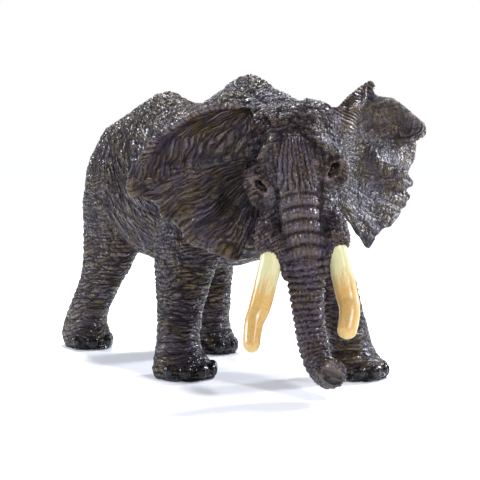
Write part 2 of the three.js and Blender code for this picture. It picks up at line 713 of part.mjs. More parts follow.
// What sinks the two temples and the middle of the forehead
function headHollows(grow = 0) {
  const round = (centre, radius) => lump(
    centre, [leftward, forward, upward], Array(3).fill(radius + grow), hollowSides, hollowRings);
  const { out, up } = templeHollowShare;
  const temples = [-1, 1].map((side) => round(
    at(0, side * out * headWidth, up * faceHeight), templeHollowRadius));
  const forehead = round(at(
    foreheadHollowShare.ahead * headWidth, foreheadHollowShare.left * headWidth,
    foreheadHollowShare.up * faceHeight), foreheadHollowRadius);
  return forehead.add(temples[0]).add(temples[1]);
}

function sheath(side) {
  const points = sheathShares.map((row) => at(
    row.ahead * sheathLength,
    muzzleShift + side * row.out * sheathSpread,
    -sheathDrop - row.down * sheathLength));
  return taperedTube(points, sheathShares, sheathRadius, 7, 12);
}

function eye(side) {
  const out = new THREE.Vector3(side * 0.62, -0.78, 0).normalize();
  const across = new THREE.Vector3().crossVectors(upward, out);
  const centre = at(0, (side * eyeSpacing) / 2, (side * eyeTilt) / 2);
  const ball = lump(centre, [across, out, upward], [eyeRadius, eyeRadius, eyeRadius * 0.7], 10, 6);
  const lids = [1, -1].map((way) => lump(
    along(centre, upward, way * eyeRadius * 0.68), [across, out, upward],
    [eyeRadius * 1.45, eyeRadius + lidThickness / 3, lidThickness], 10, 5));
  return ball.add(lids[0]).add(lids[1]);
}

// Trunk: a folded tube that hangs from the face and curls forward at the ground
const trunkCurve = new THREE.CatmullRomCurve3(trunkShares.map((row) =>
  at(row.ahead * trunkReach, muzzleShift + row.left * trunkSway, -row.drop * trunkDrop)));

function trunkLoft(folded, grow = 0) {
  const count = folded ? trunkFolds * 2 + 1 : trunkPlainRings;
  const fold = (share) => (folded ? trunkFoldDepth / 2 : 0) * (Math.round(share * (count - 1)) % 2 ? 1 : -1);
  return tube(trunkCurve, even(count), (share) => {
    const radius = columnAlong(trunkShares, trunkCurve, 'radius', share) * trunkRootRadius;
    return radius + fold(share) + grow;
  }, trunkSides);
}

function nostrils() {
  const heading = trunkCurve.getTangentAt(1);
  const across = new THREE.Vector3().crossVectors(heading, upward).normalize();
  const holes = [-1, 1].map((side) => {
    const start = along(trunkCurve.getPointAt(1), across, (side * nostrilSpacing) / 2);
    return peg(along(start, heading, overrun), flipped(heading), nostrilRadius, nostrilDepth + overrun, 8);
  });
  return holes[0].add(holes[1]);
}

const trunkSeamRow = rowAt(trunkShares, 'drop', trunkSeamDrop / trunkDrop);
const trunkJoint = {
  point: at(trunkSeamRow.ahead * trunkReach, muzzleShift, -trunkSeamDrop),
  normal: flipped(upward), radius: trunkSpigotRadius, length: trunkSpigotLength, through: overrun,
};

// Lower jaw, hung under the mouth behind the trunk
function jawLoft(grow = 0) {
  return skin(crowded(jawRings).map((share) => {
    const row = rowAt(jawShares, 'along', share);
    return ring({
      centre: at(row.along * jawLength - jawBehind, muzzleShift, -jawDrop - row.drop * jawThickness),
      across: leftward,
      upright: upward,
      half: row.half * jawHalfWidth,
      above: row.above * jawThickness,
      below: row.below * jawThickness,
    }, jawSides, grow);
  }));
}

const jawJoint = {
  point: at(jawLength * 0.62 - jawBehind, muzzleShift, -jawDrop),
  normal: flipped(upward), radius: jawSpigotRadius, length: jawSpigotLength, through: clearance,
};

// Tusks
const tuskRows = (side) => (side > 0 ? leftTuskShares : rightTuskShares);

function tuskCurve(side) {
  return new THREE.CatmullRomCurve3(tuskRows(side).map((row) => at(
    tuskRootAhead + row.ahead * tuskReach,
    muzzleShift + side * (tuskSpread / 2 + row.out * tuskFlare),
    -tuskRootDrop - row.down * tuskDrop)));
}

function tuskLoft(side, grow = 0) {
  const curve = tuskCurve(side);
  const tipShare = 0.92;
  const shares = [...even(tuskRings - 3).map((share) => share * tipShare), 0.955, 0.985, 1];
  return tube(curve, shares, (share) => {
    const intoTip = Math.max(0, (share - tipShare) / (1 - tipShare));
    const rounded = Math.sqrt(Math.max(0.05, 1 - intoTip ** 2));
    return columnAlong(tuskRows(side), curve, 'radius', share) * tuskRadius * rounded + grow;
  }, tuskSides);
}

function tuskPeg(side, grow = 0) {
  const curve = tuskCurve(side);
  const heading = curve.getTangentAt(0);
  const start = along(curve.getPointAt(0), heading, overrun);
  return peg(start, flipped(heading), tuskPegRadius + grow, tuskPegLength + overrun + grow, 10);
}

// Ears: rays run from a root inside the head out to the scalloped outline
const ears = [
  { side: -1, name: 'right_ear', outline: rightEarShares, sweep: rightEarSweep },
  { side: 1, name: 'left_ear', outline: leftEarShares, sweep: leftEarSweep },
];

// How far the diagonal fold lifts the ear at a place given in shares.
function foldLift(out, up) {
  const [from, to] = [earFoldShares.from, earFoldShares.to].map(([x, y]) => [x * earSpan, y * earHeight]);
  const [dx, dy] = [to[0] - from[0], to[1] - from[1]];
  const length = Math.hypot(dx, dy);
  const travel = ((out - from[0]) * dx + (up - from[1]) * dy) / length;
  const aside = ((out - from[0]) * dy - (up - from[1]) * dx) / length;
  const { smoothstep } = THREE.MathUtils;
  const fade = smoothstep(travel, 0, length / 3) * (1 - smoothstep(travel, length * 0.8, length));
  return earFold * fade * Math.exp(-((aside / earFoldWidth) ** 2));
}

// A point of the ear's middle surface, which is flat at its root and shaped beyond it.
function earPoint(ear, out, up, share, turn) {
  const { smoothstep } = THREE.MathUtils;
  const hollow = Math.sin(Math.PI * share) * Math.max(0, 1 - share) ** 0.7;
  const dish = 1.6 * hollow * Math.sin(Math.PI * (0.15 + 0.8 * turn));
  const curl = smoothstep(share, 0.72, 1) * (1 - smoothstep(turn, 0.34, 0.5));
  const ripple = share ** 3 * Math.sin(turn * 11 * Math.PI);
  const free = smoothstep(out, earFlatRoot, 3 * earFlatRoot);
  const lift = free * (earCurl * curl + earRipple * ripple - earBowl * dish + foldLift(out, up));
  const aside = earRootSpread / 2 + out * Math.cos(ear.sweep);
  return at(lift - earRootBehind - out * Math.sin(ear.sweep), ear.side * aside, up);
}

function earSheet(ear, grow = 0) {
  const corners = ear.outline.map(([out, up]) => new THREE.Vector3(out * earSpan, up * earHeight, 0));
  const edgeCurve = new THREE.CatmullRomCurve3(corners, false, 'centripetal');
  const normal = at(Math.cos(ear.sweep), ear.side * Math.sin(ear.sweep), 0);
  const grid = even(earRays + 1).map((turn) => {
    const heading = edgeCurve.getTangent(turn);
    const edge = along(edgeCurve.getPoint(turn), new THREE.Vector3(-heading.y, heading.x, 0), grow);
    const level = THREE.MathUtils.lerp(earRootShares.top, earRootShares.foot, turn) * earHeight;
    const root = new THREE.Vector3(-grow, level + grow * (1 - 2 * turn), 0);
    return even(earSteps + 1).map((share) => {
      const place = root.clone().lerp(edge, share);
      return earPoint(ear, place.x, place.y, share, turn);
    });
  });
  const corner = (middle, j) => {
    const half = THREE.MathUtils.lerp(earRootThickness, earEdgeThickness, j / earSteps) / 2 + grow;
    return [half, -half].map((shift) => along(middle, normal, shift));
  };
  const index = (i, j, k) => (i * (earSteps + 1) + j) * 2 + k;
  const triangles = [];
  const quad = (a, b, c, d) => triangles.push([a, b, c], [a, c, d]);
  for (let i = 0; i < earRays; i += 1) {
    for (let j = 0; j < earSteps; j += 1) {
      quad(index(i, j, 0), index(i, j + 1, 0), index(i + 1, j + 1, 0), index(i + 1, j, 0));
      quad(index(i, j, 1), index(i + 1, j, 1), index(i + 1, j + 1, 1), index(i, j + 1, 1));
    }
    quad(index(i, 0, 0), index(i + 1, 0, 0), index(i + 1, 0, 1), index(i, 0, 1));
    quad(index(i, earSteps, 0), index(i, earSteps, 1), index(i + 1, earSteps, 1), index(i + 1, earSteps, 0));
  }
  for (let j = 0; j < earSteps; j += 1) {
    quad(index(0, j, 0), index(0, j, 1), index(0, j + 1, 1), index(0, j + 1, 0));
    quad(index(earRays, j, 0), index(earRays, j + 1, 0), index(earRays, j + 1, 1), index(earRays, j, 1));
  }
  return solid(grid.flatMap((ray) => ray.flatMap(corner)), triangles);
}

// Tail: hangs down behind the rump and ends in a tuft
const tailCurve = new THREE.CatmullRomCurve3([
  at(-torsoBehind + tailRootRadius * 2, 0, tailHeight),
  at(-torsoBehind - tailRootRadius * 0.9, 0, tailHeight - tailLength * 0.08),
  at(-torsoBehind - tailRootRadius * 1.9, tailSwing * 0.2, tailHeight - tailLength * 0.3),
  at(-torsoBehind - tailRootRadius * 2.1, tailSwing * 0.55, tailHeight - tailLength * 0.6),
  at(-torsoBehind - tailRootRadius * 2.2, tailSwing, tailHeight - tailLength),
]);

function tailLoft(grow = 0) {
  const tuftShare = tuftLength / tailLength;
  return tube(tailCurve, even(tailRings), (share) => {
    const toTuft = Math.min(1, share / (1 - tuftShare));
    const slim = THREE.MathUtils.lerp(tailRootRadius, tailTipRadius, toTuft ** 0.7);
    const inTuft = Math.max(0, (share - 1 + tuftShare) / tuftShare);
    return slim + (tuftRadius - tailTipRadius) * Math.sin(Math.PI * inTuft) - slim * 0.7 * inTuft ** 2 + grow;
  }, tailSides);
}

// Materials
const paint = (color, roughness) => new THREE.MeshStandardMaterial({ color, roughness, metalness: 0 });
const hide = paint(0x4a4246, 0.55);
const ivory = paint(0xe0c078, 0.3);
const fibre = paint(0xe8e6e0, 0.95);

// A named mesh from a solid.
function mesh(name, body, material) {
  const { vertProperties, triVerts } = body.getMesh();
  const geometry = new THREE.BufferGeometry();
  geometry.setAttribute('position', new THREE.BufferAttribute(new Float32Array(vertProperties), 3));
  geometry.setIndex(new THREE.BufferAttribute(new Uint32Array(triVerts), 1));
  geometry.computeVertexNormals();
  const made = new THREE.Mesh(geometry, material);
  made.name = name;
  return made;
}

// Assembly: the two frames that the pieces are built in
const figure = new THREE.Group();
const head = new THREE.Group();
head.position.copy(at(headAhead, headLeft, headHeight));
head.rotation.set(0, headRoll, headTurn, 'ZYX');
head.updateMatrix();
figure.add(head);
const fromHead = (body) => body.transform(head.matrix.elements);
const intoHead = (body) => body.transform(head.matrix.clone().invert().elements);

// Assembly: where the neck parts, and the skin that the castings on its two sides share
const neckPoint = at(neckSeamAhead, 0, neckHeight);
const neckNormal = at(Math.cos(neckSeamTilt), 0, Math.sin(neckSeamTilt));
const neckBack = flipped(neckNormal);
const neckPegTop = along(neckPoint, neckNormal, overrun);
const neckPeg = (radius, length) => peg(neckPegTop, neckBack, radius, length + overrun);
const behindNeck = (inset) => beyond(along(neckPoint, neckBack, inset), neckBack);
const beforeNeck = (inset) => beyond(along(neckPoint, neckNormal, inset), neckNormal);
const headSkin = fromHead(headLoft(headRings, headSides).add(crownDome(1)).add(crownDome(-1)));
const shared = torsoLoft(torsoRings, torsoSides).add(neckLoft()).add(headSkin);

// Assembly: the torso and its four legs
let torso = shared.intersect(behindNeck(clearance / 2));
let skull = shared.intersect(beforeNeck(clearance / 2)).add(neckPeg(neckSpigotRadius, neckSpigotLength));
let cavity = torsoLoft(cavityRings, cavitySides, -wall).intersect(behindNeck(wall));
let filling = torsoLoft(cavityRings, cavitySides, -wall - clearance).intersect(behindNeck(wall + clearance));
let keepOut = neckPeg(neckSpigotRadius + 2 * clearance, neckSpigotLength + clearance);
for (const leg of legs) {
  const joint = legJoint(leg);
  const seated = seat(torso, legLoft(leg).add(toenails(leg)), legLoft(leg, clearance), legLoft(leg), joint);
  torso = seated.body;
  skull = skull.subtract(legLoft(leg, clearance));
  keepOut = keepOut.add(seated.keepOut);
  const casting = seated.limb.intersect(beyond(at(0, 0, 0), upward)).subtract(legCore(leg, joint));
  figure.add(mesh(leg.name, casting, hide));
  const inset = (depth) => legLoft(leg, depth)
    .intersect(beyond(along(joint.point, joint.normal, -depth), joint.normal));
  cavity = cavity.subtract(inset(wall + clearance));
  filling = filling.subtract(inset(wall + 2 * clearance));
}

// Assembly: the head casting, hollow through its collar
skull = intoHead(skull);
const trunkSeated = seat(skull, trunkLoft(true), trunkLoft(false, clearance), trunkLoft(false), trunkJoint);
const jawStub = jawLoft().intersect(intoHead(beforeNeck(clearance / 2)));
const jawSeated = seat(trunkSeated.body, jawStub, jawLoft(clearance), jawStub, jawJoint);
skull = jawSeated.body;
skull = skull.subtract(headHollows());
for (const side of [-1, 1]) {
  skull = skull.add(brow(side)).add(cheek(side)).add(sheath(side)).add(eye(side));
}
const mouthFloor = trunkSpigotLength + overrun - trunkSeamDrop;
const hollowHead = (inset) => headLoft(cavityRings, cavitySides, -inset)
  .intersect(beyond(at(0, 0, mouthFloor + inset), upward)).intersect(intoHead(beforeNeck(inset)))
  .subtract(headHollows(inset));
const boreStart = along(neckPoint, neckNormal, neckBoreReach);
const bore = peg(boreStart, neckBack, neckSpigotRadius - wall, neckBoreReach + neckSpigotLength + overrun);
skull = skull.subtract(hollowHead(wall)).subtract(intoHead(bore));
let headFilling = hollowHead(wall + clearance);
for (const side of [-1, 1]) {
  skull = skull.subtract(tuskLoft(side, clearance).add(tuskPeg(side, clearance)));
  headFilling = headFilling.subtract(tuskLoft(side, 2 * clearance)).subtract(tuskPeg(side, 2 * clearance));
}
for (const ear of ears) {
  skull = skull.subtract(earSheet(ear, clearance));
  headFilling = headFilling.subtract(earSheet(ear, 2 * clearance));
  head.add(mesh(ear.name, earSheet(ear), hide));
}
head.add(mesh('head_shell', skull, hide));
head.add(mesh('trunk', trunkSeated.limb.subtract(nostrils()), hide));
head.add(mesh('lower_jaw', jawSeated.limb, hide));
head.add(mesh('right_tusk', tuskLoft(-1).add(tuskPeg(-1)), ivory));
head.add(mesh('left_tusk', tuskLoft(1).add(tuskPeg(1)), ivory));
head.add(mesh('head_stuffing', headFilling, fibre));

// Assembly: the tail, then the body's hollow and its filling
torso = torso.subtract(neckPeg(neckSpigotRadius + clearance, neckSpigotLength + wall))
  .subtract(tailLoft(clearance)).subtract(cavity);
filling = filling.subtract(keepOut).subtract(tailLoft(2 * clearance));
figure.add(mesh('torso_shell', torso, hide));
figure.add(mesh('tail', tailLoft(), hide));
figure.add(mesh('body_stuffing', filling, fibre));

// The part stands on its soles, with its origin under the middle of its outline
const part = new THREE.Group();
part.add(figure);
const outline = new THREE.Box3().setFromObject(part, true);
const middle = outline.getCenter(new THREE.Vector3());
figure.position.set(-middle.x, -middle.y, -outline.min.z);

export default part;
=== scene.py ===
"""An elephant figure of soft vinyl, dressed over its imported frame, and the stage that it stands on."""

import math

import bpy
import numpy as np
from bpy.props import FloatProperty, FloatVectorProperty, PointerProperty
from bpy.types import Operator, Panel, PropertyGroup
from mathutils import Matrix, Vector


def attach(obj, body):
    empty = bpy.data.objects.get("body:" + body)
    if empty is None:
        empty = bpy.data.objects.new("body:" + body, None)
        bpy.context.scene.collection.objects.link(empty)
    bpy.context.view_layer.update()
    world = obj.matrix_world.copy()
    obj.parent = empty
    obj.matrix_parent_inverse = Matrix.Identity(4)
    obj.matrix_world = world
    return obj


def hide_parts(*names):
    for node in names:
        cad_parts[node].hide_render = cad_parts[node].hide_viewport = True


bl_info = {
    "name": "Elephant figure",
    "version": (1, 0, 0),
    "blender": (4, 5, 0),
    "location": "3D View > Sidebar > Elephant",
    "description": "Builds the visible skin, tusks and eyes of a walking elephant figure",
    "category": "Object",
}

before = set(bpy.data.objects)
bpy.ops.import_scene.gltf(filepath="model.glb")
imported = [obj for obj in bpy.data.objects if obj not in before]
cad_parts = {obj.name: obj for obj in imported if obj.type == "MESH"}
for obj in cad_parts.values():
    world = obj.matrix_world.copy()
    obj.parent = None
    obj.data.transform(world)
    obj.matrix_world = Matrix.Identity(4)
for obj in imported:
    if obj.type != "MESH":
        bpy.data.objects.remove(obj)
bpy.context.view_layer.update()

MM = 0.001

# Where the figure's own origin lies in the row frame, so that its box is centred over the ground point.
FIGURE_SHIFT = np.array([-3.971517 * MM, 14.940869 * MM, 0.0])

# Sizes of the figure. Those of the castings are the frame's own.
SHOULDER_HEIGHT = 183 * MM
TORSO_LENGTH = 194 * MM
TORSO_BEHIND = 108 * MM
BARREL_WIDTH = 86 * MM
STANCE_LENGTH = 132.5 * MM
FRONT_TRACK = 84 * MM
REAR_TRACK = 56.4 * MM
FRONT_STRIDE = 62.8 * MM
REAR_STRIDE = 68.9 * MM
NECK_FROM = 40 * MM
NECK_REACH = 56 * MM
NECK_HEIGHT = SHOULDER_HEIGHT * 0.694
NECK_HALF_WIDTH = 36 * MM
NECK_HALF_DEPTH = 48 * MM
NECK_SEAM_AHEAD = 76 * MM
NECK_SEAM_TILT = math.radians(15)
FRONT_FOOT = (40.5 * MM, 38.5 * MM)
REAR_FOOT = (35 * MM, 31 * MM)
SHOULDER_JOINT_HEIGHT = SHOULDER_HEIGHT * 0.511
HIP_JOINT_HEIGHT = SHOULDER_HEIGHT * 0.522
SEAM_TILT = math.radians(30)
HEAD_PLACE = (109 * MM, -13.5 * MM, SHOULDER_HEIGHT * 0.683)
HEAD_TURN = math.radians(-33)
HEAD_ROLL = math.radians(-5)
FACE_HEIGHT = 105 * MM
FACE_LENGTH = 56 * MM
HEAD_WIDTH = 55 * MM
MUZZLE_SHIFT = -1.5 * MM
CROWN_SPACING = 21 * MM
CROWN_SHIFT = 3 * MM
CROWN_HEIGHT = 28.2 * MM
CROWN_BEHIND = 20 * MM
CROWN_RADIUS = 15 * MM
CROWN_TILT = 0.5 * MM
BROW_LENGTH = 24 * MM
BROW_THICKNESS = 7 * MM
CHEEK_LENGTH = 24 * MM
CHEEK_THICKNESS = 8 * MM
SHEATH_SPREAD = 38 * MM
SHEATH_DROP = 20 * MM
SHEATH_LENGTH = 22 * MM
SHEATH_RADIUS = 8.8 * MM
EYE_SIZES = (4.6 * MM, 3.4 * MM, 2.6 * MM)
EYE_TILT = 4.8 * MM
# The inner and outer corner of the opening between each eye's lids, as millimetres ahead of, left of and above
# the head's origin
EYE_CORNERS = {-1: ((6.4, -18.6, -6.0), (-0.2, -25.6, 0.4)), 1: ((7.2, 16.0, -1.2), (-0.1, 25.0, 6.2))}
TRUNK_DROP = 111 * MM
TRUNK_REACH = 41 * MM
TRUNK_SWAY = 6.5 * MM
TRUNK_RADIUS = 13 * MM
TRUNK_SEAM_DROP = 47 * MM
JAW_LENGTH = 25 * MM
JAW_BEHIND = 28.5 * MM
JAW_HALF_WIDTH = 13 * MM
JAW_THICKNESS = 13 * MM
JAW_DROP = 42 * MM
TUSK_DROP = 56 * MM
TUSK_REACH = 24 * MM
TUSK_SPREAD = 37 * MM
TUSK_FLARE = 17 * MM
TUSK_RADIUS = 6.5 * MM
TUSK_ROOT_AHEAD = 13 * MM
TUSK_ROOT_DROP = 37 * MM
EAR_SPAN = 84 * MM
EAR_HEIGHT = 100 * MM
EAR_ROOT_THICKNESS = 3 * MM
EAR_EDGE_THICKNESS = 1.8 * MM
EAR_ROOT_SPREAD = 44 * MM
EAR_ROOT_BEHIND = 11 * MM
EAR_SWEEP = {-1: math.radians(8), 1: math.radians(44)}
EAR_FLAT_ROOT = 8 * MM
EAR_BOWL = 5 * MM
EAR_CURL = 8 * MM
EAR_RIPPLE = 1.6 * MM
EAR_FOLD = 5 * MM
EAR_FOLD_WIDTH = 8 * MM
TAIL_LENGTH = 92 * MM
TAIL_ROOT_RADIUS = 5.4 * MM
TAIL_TIP_RADIUS = 2.2 * MM
TUFT_LENGTH = 20 * MM
TUFT_RADIUS = 3.6 * MM
TAIL_HEIGHT = SHOULDER_HEIGHT * 0.744
TAIL_SWING = 12 * MM

# The camera of the picture: its place ahead of, left of and above the figure's origin, and where it looks
CAMERA_PLACE = (782.3 * MM, -560.2 * MM, 163 * MM)
CAMERA_TURN = math.atan2(0.8, 0.6)
CAMERA_PITCH = math.radians(4.953)

# How the skin is parted beside the planes of its seams
JAW_REACH = 0.95
JAW_WIDTH = 1.1
TRUNK_MARGIN = 3 * MM
LEG_LEVEL = 1.13

# What is smoothed or painted beside a line or a place: how far it reaches, or the two ends of its soft edge
LID_REACH = 3.8 * MM
OPENING_REACH = 1.5 * MM
TRUNK_TIP_SMOOTH = (6 * MM, 9 * MM)
FOOT_STILL = (1.5 * MM, 7 * MM)
SOLE_BLACK = (1.2 * MM, 2.8 * MM)
TOE_BLACK = (4.5 * MM, 6.5 * MM)
TOE_BLACK_TURN = (1.15, 1.35)
TOE_BLACK_REACH = 30 * MM
EYE_INNER_REACH = (0.8 * MM, 3.6 * MM)

# How far small things stand out or lie in, and the like
SWELL_HEIGHT = 0.22 * MM
EYE_SUNK = 1.6 * MM
EYE_FACING = (0.78, 0.62)
NAIL_LIFT = 1.2 * MM
TUSK_TIP = 0.92
TUSK_GROOVE = 0.16 * MM
TAIL_GROOVE = 0.4 * MM
TAIL_STRAND = 0.5 * MM
FIBRE_LUMP = 0.8 * MM
FIGURE_MIDDLE = (0, 0, 0.09)
FLOOR_REACH = 4
FLOOR_LEVEL = -0.2 * MM

# Millimetres from one ridge to the next, of each kind that runs in bands
ANKLE_PITCH = 6.2
NOSE_RIB_PITCH = 3.4
MUZZLE_RIB_PITCH = 2.5
MUZZLE_FOLD_PITCH = 7.4
TRUNK_RING_PITCH = 4.4
EAR_RIM_PITCH = 2.7
EAR_ROLL_PITCH = 2.2
TAIL_FOLD_PITCH = 2.4

# Rows of shares, read along their first column
TORSO_SHARES = {
    "along": [0, 0.02, 0.06, 0.12, 0.2, 0.33, 0.39, 0.45, 0.55, 0.66, 0.76, 0.86, 0.94, 0.98, 1],
    "top": [0.725, 0.78, 0.846, 0.876, 0.909, 0.955, 0.93, 0.918, 0.913, 0.953, 1.002, 0.985, 0.902,
            0.823, 0.744],
    "bottom": [0.577, 0.498, 0.439, 0.4, 0.372, 0.352, 0.343, 0.336, 0.334, 0.346, 0.372, 0.396, 0.43,
               0.475, 0.548],
    "half": [0.2, 0.46, 0.76, 0.905, 0.957, 0.992, 1.005, 1.015, 1.02, 0.97, 0.92, 0.87, 0.74, 0.54, 0.24],
    "widest": [0.656, 0.626, 0.607, 0.597, 0.587, 0.577, 0.572, 0.567, 0.567, 0.567, 0.577, 0.587,
               0.607, 0.626, 0.636],
    "square": [2, 2, 2.1, 2.1, 2.15, 2.2, 2.2, 2.2, 2.2, 2.2, 2.15, 2.1, 2, 2, 2],
    "pinch": [0.1, 0.15, 0.25, 0.3, 0.3, 0.3, 0.27, 0.25, 0.25, 0.35, 0.4, 0.35, 0.25, 0.15, 0.1],
}
NECK_SHARES = {
    "along": [0, 0.4, 0.72, 1],
    "left": [0, -0.01, -0.05, -0.12],
    "half": [1, 0.94, 0.82, 0.66],
    "above": [1.06, 1.04, 0.95, 0.8],
    "below": [0.98, 0.96, 0.9, 0.8],
}
FRONT_LEG_SHARES = {
    "height": [0, 0.016, 0.045, 0.08, 0.12, 0.18, 0.25, 0.31, 0.38, 0.46, 0.56, 0.68, 0.78, 0.84],
    "reach": [0, 0, 0.01, 0.03, 0.08, 0.16, 0.28, 0.4, 0.56, 0.72, 0.88, 0.98, 1, 1],
    "lean": [0, 0, 0.25, 0.7, 1, 1, 0.95, 0.85, 0.75, 0.5, 0.2, 0, 0, 0],
    "front": [0.95, 1, 0.92, 0.64, 0.57, 0.58, 0.66, 0.8, 0.97, 1.15, 1.3, 1.18, 0.78, 0.26],
    "back": [0.92, 0.99, 0.96, 0.88, 0.83, 0.84, 0.92, 1.02, 1.2, 1.32, 1.34, 1.22, 0.84, 0.3],
    "half": [0.94, 1, 0.95, 0.76, 0.68, 0.69, 0.76, 0.85, 0.95, 1, 0.96, 0.75, 0.42, 0.12],
}
REAR_LEG_SHARES = {
    "height": [0, 0.016, 0.045, 0.08, 0.12, 0.18, 0.25, 0.31, 0.38, 0.46, 0.56, 0.68, 0.77, 0.83],
    "reach": [0, 0, 0, 0.02, 0.06, 0.16, 0.34, 0.5, 0.66, 0.8, 0.92, 1, 1, 1],
    "lean": [0, 0, 0, 0, 0, 0.1, 0.5, 1, 1, 0.7, 0.3, 0, 0, 0],
    "front": [0.93, 1, 0.92, 0.66, 0.62, 0.9, 1.16, 1.38, 1.54, 1.64, 1.76, 1.5, 0.98, 0.32],
    "back": [1.14, 1.3, 1.5, 1.54, 1.42, 1.16, 0.98, 0.96, 1.12, 1.42, 1.76, 1.54, 0.9, 0.3],
    "half": [0.92, 1, 0.98, 0.86, 0.79, 0.78, 0.82, 0.92, 1.06, 1.18, 1.22, 0.96, 0.56, 0.16],
}
HEAD_SHARES = {
    "rise": [0.41, 0.39, 0.35, 0.29, 0.22, 0.14, 0.05, -0.04, -0.14, -0.24, -0.33, -0.4, -0.44],
    "front": [-0.18, -0.06, 0.03, 0.1, 0.17, 0.23, 0.28, 0.32, 0.36, 0.4, 0.43, 0.44, 0.43],
    "back": [-0.46, -0.58, -0.68, -0.74, -0.78, -0.78, -0.75, -0.7, -0.62, -0.5, -0.36, -0.2, -0.08],
    "half": [0.3, 0.56, 0.76, 0.9, 0.99, 1.02, 0.98, 0.92, 0.86, 0.8, 0.7, 0.54, 0.44],
    "pinch": [0, 0.05, 0.12, 0.2, 0.26, 0.32, 0.38, 0.42, 0.44, 0.42, 0.34, 0.2, 0.1],
}
BROW_SHARES = {
    "out": [0.2, 0.42, 0.64, 0.84],
    "up": [1.05, 0.78, 0.5, 0.24],
    "ahead": [-0.04, 0.16, 0.12, -0.08],
    "radius": [0.6, 0.9, 0.92, 0.8],
}
CHEEK_SHARES = {
    "out": [0.74, 0.85, 0.82, 0.66],
    "up": [0.56, 0.24, -0.18, -0.66],
    "ahead": [-0.18, -0.22, -0.2, -0.06],
    "radius": [0.6, 1.0, 1.0, 0.6],
}
SHEATH_SHARES = {
    "out": [0.36, 0.45, 0.49, 0.49],
    "down": [-0.2, 0.25, 0.66, 1.0],
    "ahead": [0.06, 0.26, 0.5, 0.66],
    "radius": [0.5, 0.92, 1.04, 0.96],
}
# The lip beside a tusk, in millimetres from the tusk's root
LIP_SHARES = {
    "down": [-4, 0.5, 4.5, 9.5, 15.5, 21],
    "inward": [0.5, 3.2, 5.4, 6.8, 7.2, 6.8],
    "ahead": [0.6, 1.6, 2.2, 2.6, 3.2, 3.6],
    "radius": [7.6, 7.2, 6.2, 5.1, 4.0, 2.6],
}
TRUNK_SHARES = {
    "drop": [0.18, 0.3, 0.42, 0.53, 0.63, 0.74, 0.84, 0.93, 0.985, 1, 0.98],
    "ahead": [0.2, 0.26, 0.3, 0.32, 0.34, 0.37, 0.42, 0.52, 0.68, 0.86, 1],
    "left": [0, 0, 0, -0.03, -0.05, -0.06, 0, 0.2, 0.66, 1.04, 1.28],
    "radius": [0.96, 1, 0.98, 0.86, 0.77, 0.7, 0.67, 0.65, 0.64, 0.63, 0.62],
}
TRUNK_END = (43 * MM, 5.5 * MM, -109 * MM)
TUSK_SHARES = {
    -1: {
        "ahead": [0, 0.12, 0.32, 0.62, 1],
        "out": [-0.03, 0.17, 0.49, 0.87, 1.07],
        "down": [0.02, 0.27, 0.53, 0.765, 1.01],
        "radius": [0.86, 1.0, 0.98, 0.84, 0.7],
    },
    1: {
        "ahead": [0, 0.12, 0.32, 0.62, 1],
        "out": [-0.02, 0.06, 0.16, 0.18, -0.1],
        "down": [0.04, 0.235, 0.505, 0.727, 0.96],
        "radius": [0.86, 0.98, 0.98, 0.9, 0.82],
    },
}
JAW_SHARES = {
    "along": [0, 0.25, 0.55, 0.8, 1],
    "drop": [-0.1, 0.05, 0.3, 0.52, 0.7],
    "half": [0.7, 1.0, 0.82, 0.5, 0.2],
    "above": [0.7, 0.8, 0.6, 0.36, 0.14],
    "below": [0.3, 0.42, 0.42, 0.34, 0.18],
}
# The ears' outlines, from the top of the root round to its bottom, as shares of span and height
EAR_SHARES = {-1: [
    (0.014, 0.42), (0.214, 0.445), (0.32, 0.442), (0.442, 0.412), (0.537, 0.375), (0.678, 0.315),
    (0.731, 0.284), (0.796, 0.212), (0.858, 0.157), (0.909, 0.084), (0.932, 0.012), (0.896, -0.047),
    (0.828, -0.014), (0.819, -0.059), (0.725, -0.107), (0.71, -0.17), (0.584, -0.247), (0.555, -0.308),
    (0.518, -0.352), (0.429, -0.388), (0.321, -0.434), (0.24, -0.47), (0.176, -0.47), (0.157, -0.424),
    (0.093, -0.345), (0.03, -0.25), (0.008, -0.18),
], 1: [
    (0.128, 0.37), (0.25, 0.352), (0.355, 0.392), (0.405, 0.478), (0.45, 0.51), (0.49, 0.49), (0.53, 0.43),
    (0.774, 0.388), (0.973, 0.285), (1.11, 0.206), (1.108, 0.152), (1.04, 0.129), (1.005, 0.12),
    (0.984, 0.047), (0.931, -0.044), (0.872, -0.069), (0.929, -0.141), (0.854, -0.182), (0.876, -0.234),
    (0.758, -0.307), (0.656, -0.363), (0.44, -0.418), (0.337, -0.495), (0.259, -0.436), (0.164, -0.332),
    (0.056, -0.25), (0, -0.2),
]}
EAR_ROOT_SHARES = (0.38, -0.13)
# Where the ribbed rim and the hollow beside it lie between root (0) and outline (1), their width there, and
# about how long the rim is in millimetres
EAR_RIM, EAR_UNDER_RIM, EAR_RIM_WIDTH, EAR_RIM_LENGTH = 0.94, 0.83, 0.045, 420
EAR_THROAT = (15 * MM, -2 * MM)
# Both ends of the diagonal fold, and of the edge of the left ear's roll
EAR_FOLD_SHARES = ((0.36, 0.1), (0.9, -0.1))
EAR_ROLL_SHARES = ((0.227, 0.223), (0.49, 0.474))
# What differs between the ears: the centre and the reach of the fan of wrinkles and the throat's width and
# depth, in millimetres, how strong the ribbed rim is, and how far the fine creases fade
EAR_LOOKS = {
    -1: {"centre": (-14, 16), "reach": 64, "wide": 15, "deep": 3.2, "rim": 1.0, "calm": 0.5},
    1: {"centre": (-36, 14), "reach": 80, "wide": 8, "deep": 1.2, "rim": 0.2, "calm": 0.2},
}
SIDES = (("right", -1), ("left", 1))


# Frames and curves

